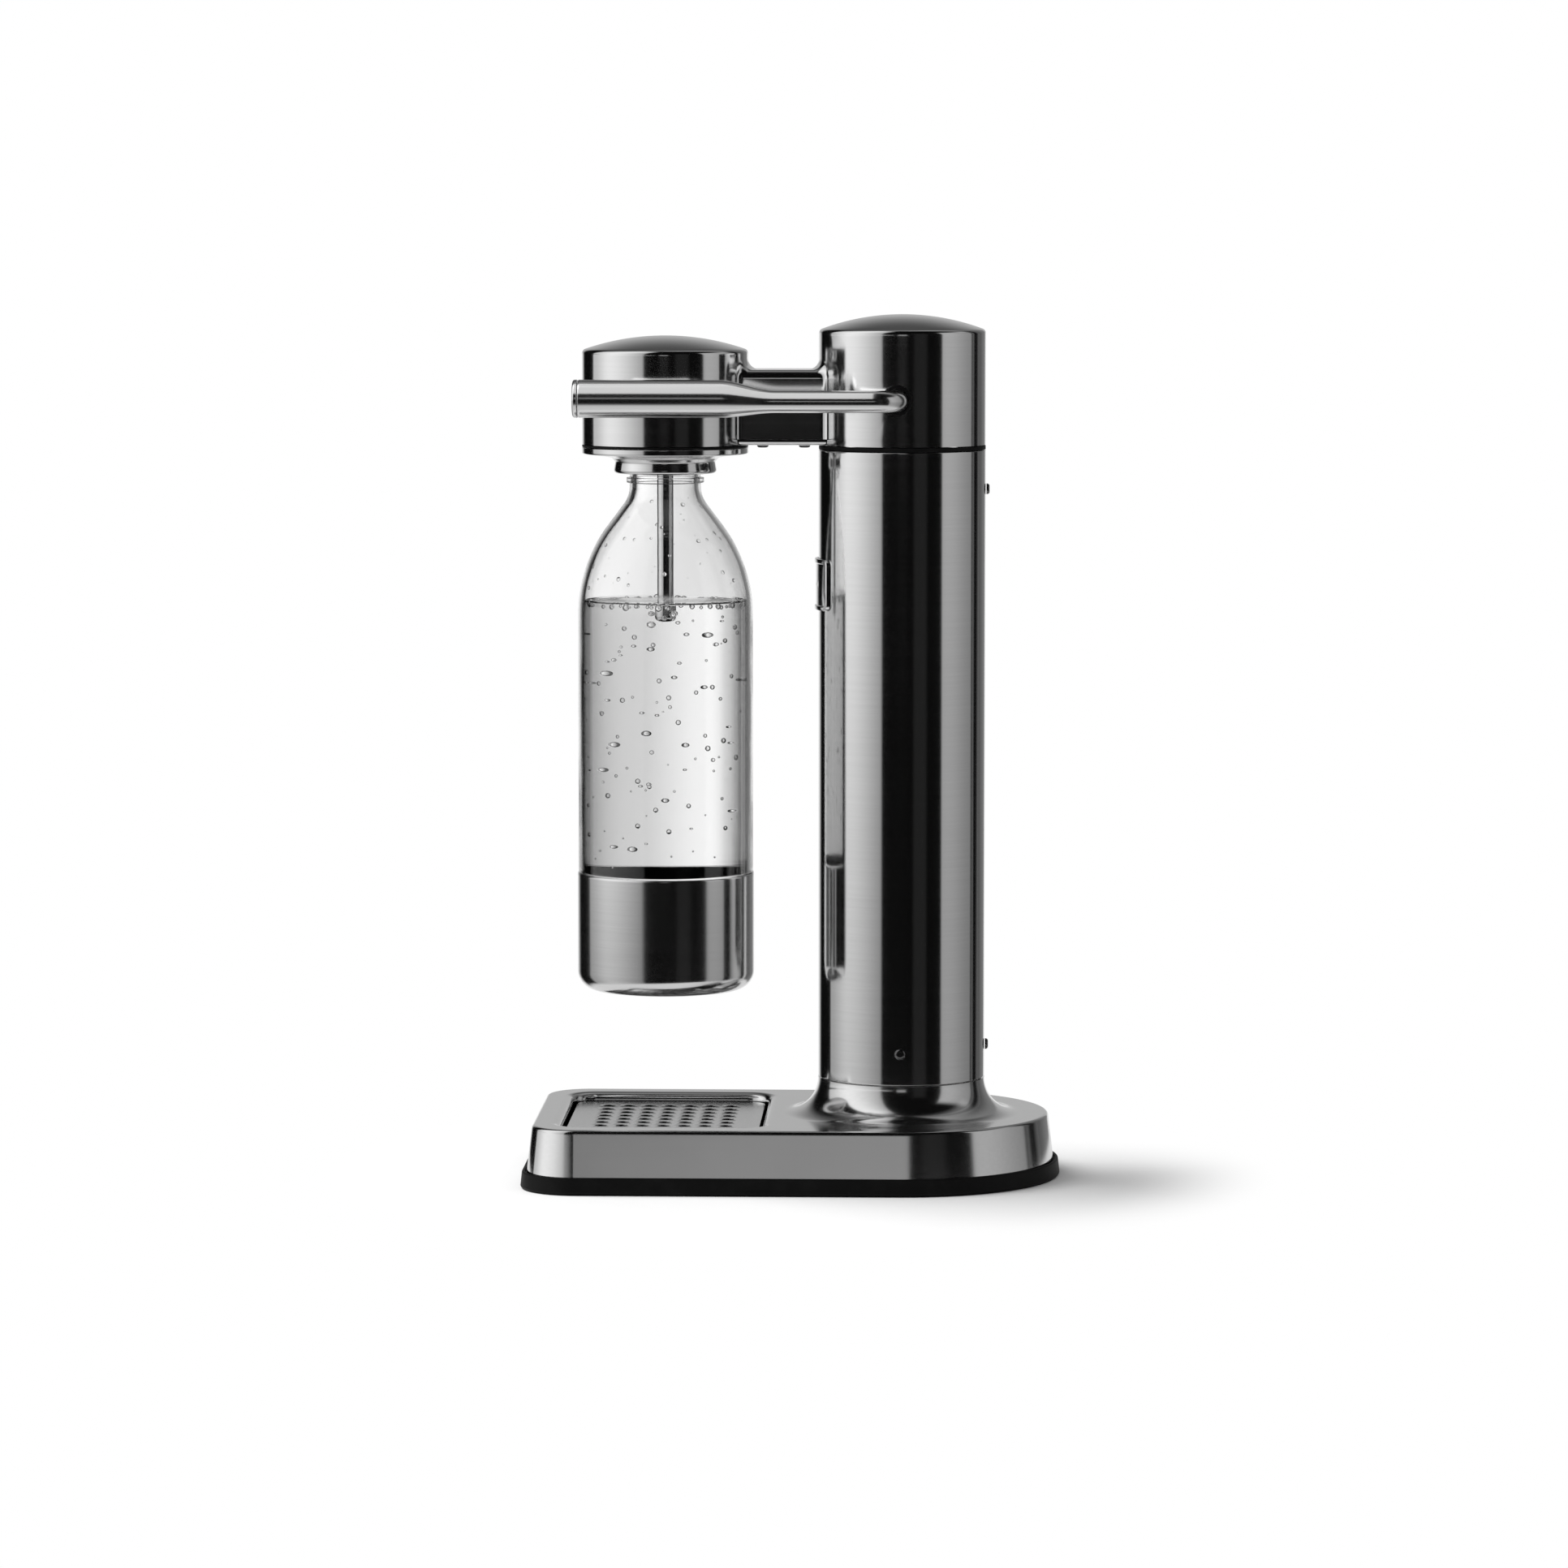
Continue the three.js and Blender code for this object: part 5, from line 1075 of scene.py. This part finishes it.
# Studio. Directions and heights in it are in degrees.

WHITE = (1, 1, 1, 1)
FLOOR_HALF, FLOOR_DROP = 9.0, 0.0001
CAMERA_PLACE, CAMERA_DOWN, CAMERA_TURN, CAMERA_LENS = (0.0986, -3.0002, 0.4693), 5.344, 1.970, 143.94


def studio_floor():
    """White paper. Metal mirrors it near the object only, and the studio beyond that."""
    mesh = bpy.data.meshes.new("floor")
    corners = [(x * FLOOR_HALF, y * FLOOR_HALF, 0) for x, y in ((-1, -1), (1, -1), (1, 1), (-1, 1))]
    mesh.from_pydata(corners, [], [(0, 1, 2, 3)])
    m = material("pale_floor")
    m.owner.cycles.emission_sampling = "NONE"
    x, y, _ = m.axes(m.place())
    seen, glossy, through = m.path("Is Camera Ray", "Is Glossy Ray", "Is Transmission Ray")
    mirrored, away = glossy.most(through), (x * x + y * y) ** 0.5
    paper = m.out("ShaderNodeBsdfDiffuse", {"Color": m.blend(mirrored, grey(0.93), grey(0.75))})
    white = m.out("ShaderNodeEmission", {"Color": WHITE, "Strength": seen})
    open_air = m.out("ShaderNodeBsdfTransparent")
    lit = m.out("ShaderNodeMixShader", [away.step(0.16, 0.235) * seen, paper, white])
    mixed = m.out("ShaderNodeMixShader", [mirrored * away.step(0.2, 0.26), lit, open_air])
    m.node("ShaderNodeOutputMaterial", {"Surface": mixed})
    mesh.materials.append(m.owner)
    floor = link(bpy.data.objects.new("pale_floor", mesh))
    floor.location.z = -FLOOR_DROP


def mirrored_studio(x, y, z):
    """What polished steel mirrors: soft boxes on both sides, a backdrop, the ground and black flags."""
    around, over = x.bearing(-1 * y), z.bearing(-1 * y)
    height = z.sum("ARCSINE", z) * (180 / math.pi)

    turned = around - height.band(2.8, 4.8, 0.8) * 17
    left = turned.step(-117, -114) * (1 - turned.step(-28.5, -25.5)) * (1 - height.step(72, 86))
    left = left * (0.7 + turned.step(-112, -80) * 0.4 - turned.step(-82, 0) * 0.85)
    left = left * (0.55 + height.step(-10, 0.5) * 0.45)

    right = around.band(57.5, 112, 1.5) * (1 - height.step(32, 46))
    right = right * (0.49 - around.step(65, 112) * 0.19) * (0.75 + height.step(-10, 0.5) * 0.25)

    rim = around.step(126, 129) * (0.08 + around.step(128, 160) * 0.14)
    rim = (rim + around.band(131.5, 133.5, 0.5) * 0.06) * (1 - around.step(160, 166))
    rim = rim + around.band(114.5, 118.5, 0.7) * 0.12
    rim = rim + around.band(17, 35, 3) * 0.014 * (1 - height.step(20, 30))

    behind = 1 - around.step(-164, -146) * (1 - around.step(160, 166))
    backdrop = 0.08 + (1 - height.step(6, 38)) * 0.42 + (1 - height.step(-1, 5)) * 0.4

    front = around.band(-5, 7, 0.7) * height.band(1.5, 8, 1.5) * 0.38
    above = over.band(98, 124, 10) * height.step(20, 40) * 0.16
    ground = (1 - height.step(-46, -26)) * 0.66

    sides = left + right + rim + front + behind * backdrop + above
    return (sides * height.step(-40, -28) + ground) + 0.004


def lit_backdrop(x, y):
    """What clear pieces show behind them: white, falling off to grey on both sides."""
    across = x.bearing(y)
    falling = 1.12 - across.step(-16, 8) * 0.38 - across.step(2, 40) * 0.38
    middle = (0.1 + across.step(-42, -17) * 0.9) * falling
    return middle.most(abs(across).step(66, 90) * 0.85)


def studio_world():
    """White behind the object for the camera, with the studio round it for the metal to mirror."""
    world = bpy.data.worlds.new("studio")
    bpy.context.scene.world = world
    world.cycles.sampling_method = "NONE"
    s = Shading(world)
    x, y, z = s.axes(s.out("ShaderNodeTexCoord", output="Generated"))
    seen, through, glossy, mirrors = s.path(
        "Is Camera Ray", "Is Transmission Ray", "Is Glossy Ray", "Glossy Depth")
    rest = (1 - seen) * (1 - through) * (1 - glossy)
    straight = through * (1 - mirrors.least(1))
    mirrored = glossy.most(through) * (1 - straight) * mirrored_studio(x, y, z)
    level = seen + straight * lit_backdrop(x, y) + mirrored + rest * 0.4
    shader = s.out("ShaderNodeBackground", {"Color": WHITE, "Strength": level})
    s.node("ShaderNodeOutputWorld", {"Surface": shader})


def aimed(name, lamp, away, azimuth, elevation, middle=(0, 0, 0)):
    """Hangs a lamp in a direction, turned back to the middle. Lengths in millimetres."""
    turn, rise = math.radians(azimuth), math.radians(elevation)
    way = Vector((math.sin(turn) * math.cos(rise), -math.cos(turn) * math.cos(rise), math.sin(rise)))
    hung = link(bpy.data.objects.new(name, lamp))
    hung.location = (Vector(middle) + way * away) * MM
    hung.rotation_euler = way.to_track_quat("Z", "Y").to_euler()
    return hung


def studio_lamps():
    """A soft key over everything, and a strip that lights the lever alone."""
    lamp = bpy.data.lights.new("soft_key", "SUN")
    lamp.energy, lamp.angle = 2.7, math.radians(34)
    sun = aimed("soft_key", lamp, 1000, -100, 58)
    sun.visible_glossy = sun.visible_transmission = False

    strip = bpy.data.lights.new("lever_strip", "AREA")
    strip.shape, strip.size, strip.size_y = "RECTANGLE", 0.227, 0.148
    strip.energy = 0.8 * math.pi * strip.size * strip.size_y
    hung = aimed("lever_strip", strip, 110, 0, 66, (-71.5, -LEVER_SIDE, 374))
    hung.visible_camera = False
    lit = bpy.data.collections.new("lit_by_strip")
    for name in ("lever_bar", "lever_end_cap"):
        lit.objects.link(bpy.data.objects[name])
    hung.light_linking.receiver_collection = lit


def studio_camera():
    camera = bpy.data.cameras.new("camera")
    camera.lens, camera.sensor_width = CAMERA_LENS, 36
    placed = link(bpy.data.objects.new("camera", camera))
    placed.location = CAMERA_PLACE
    placed.rotation_euler = (math.radians(90 - CAMERA_DOWN), 0, math.radians(CAMERA_TURN))
    bpy.context.scene.camera = placed


studio_floor()
studio_world()
studio_lamps()
studio_camera()
bpy.context.scene.view_settings.view_transform = "Standard"
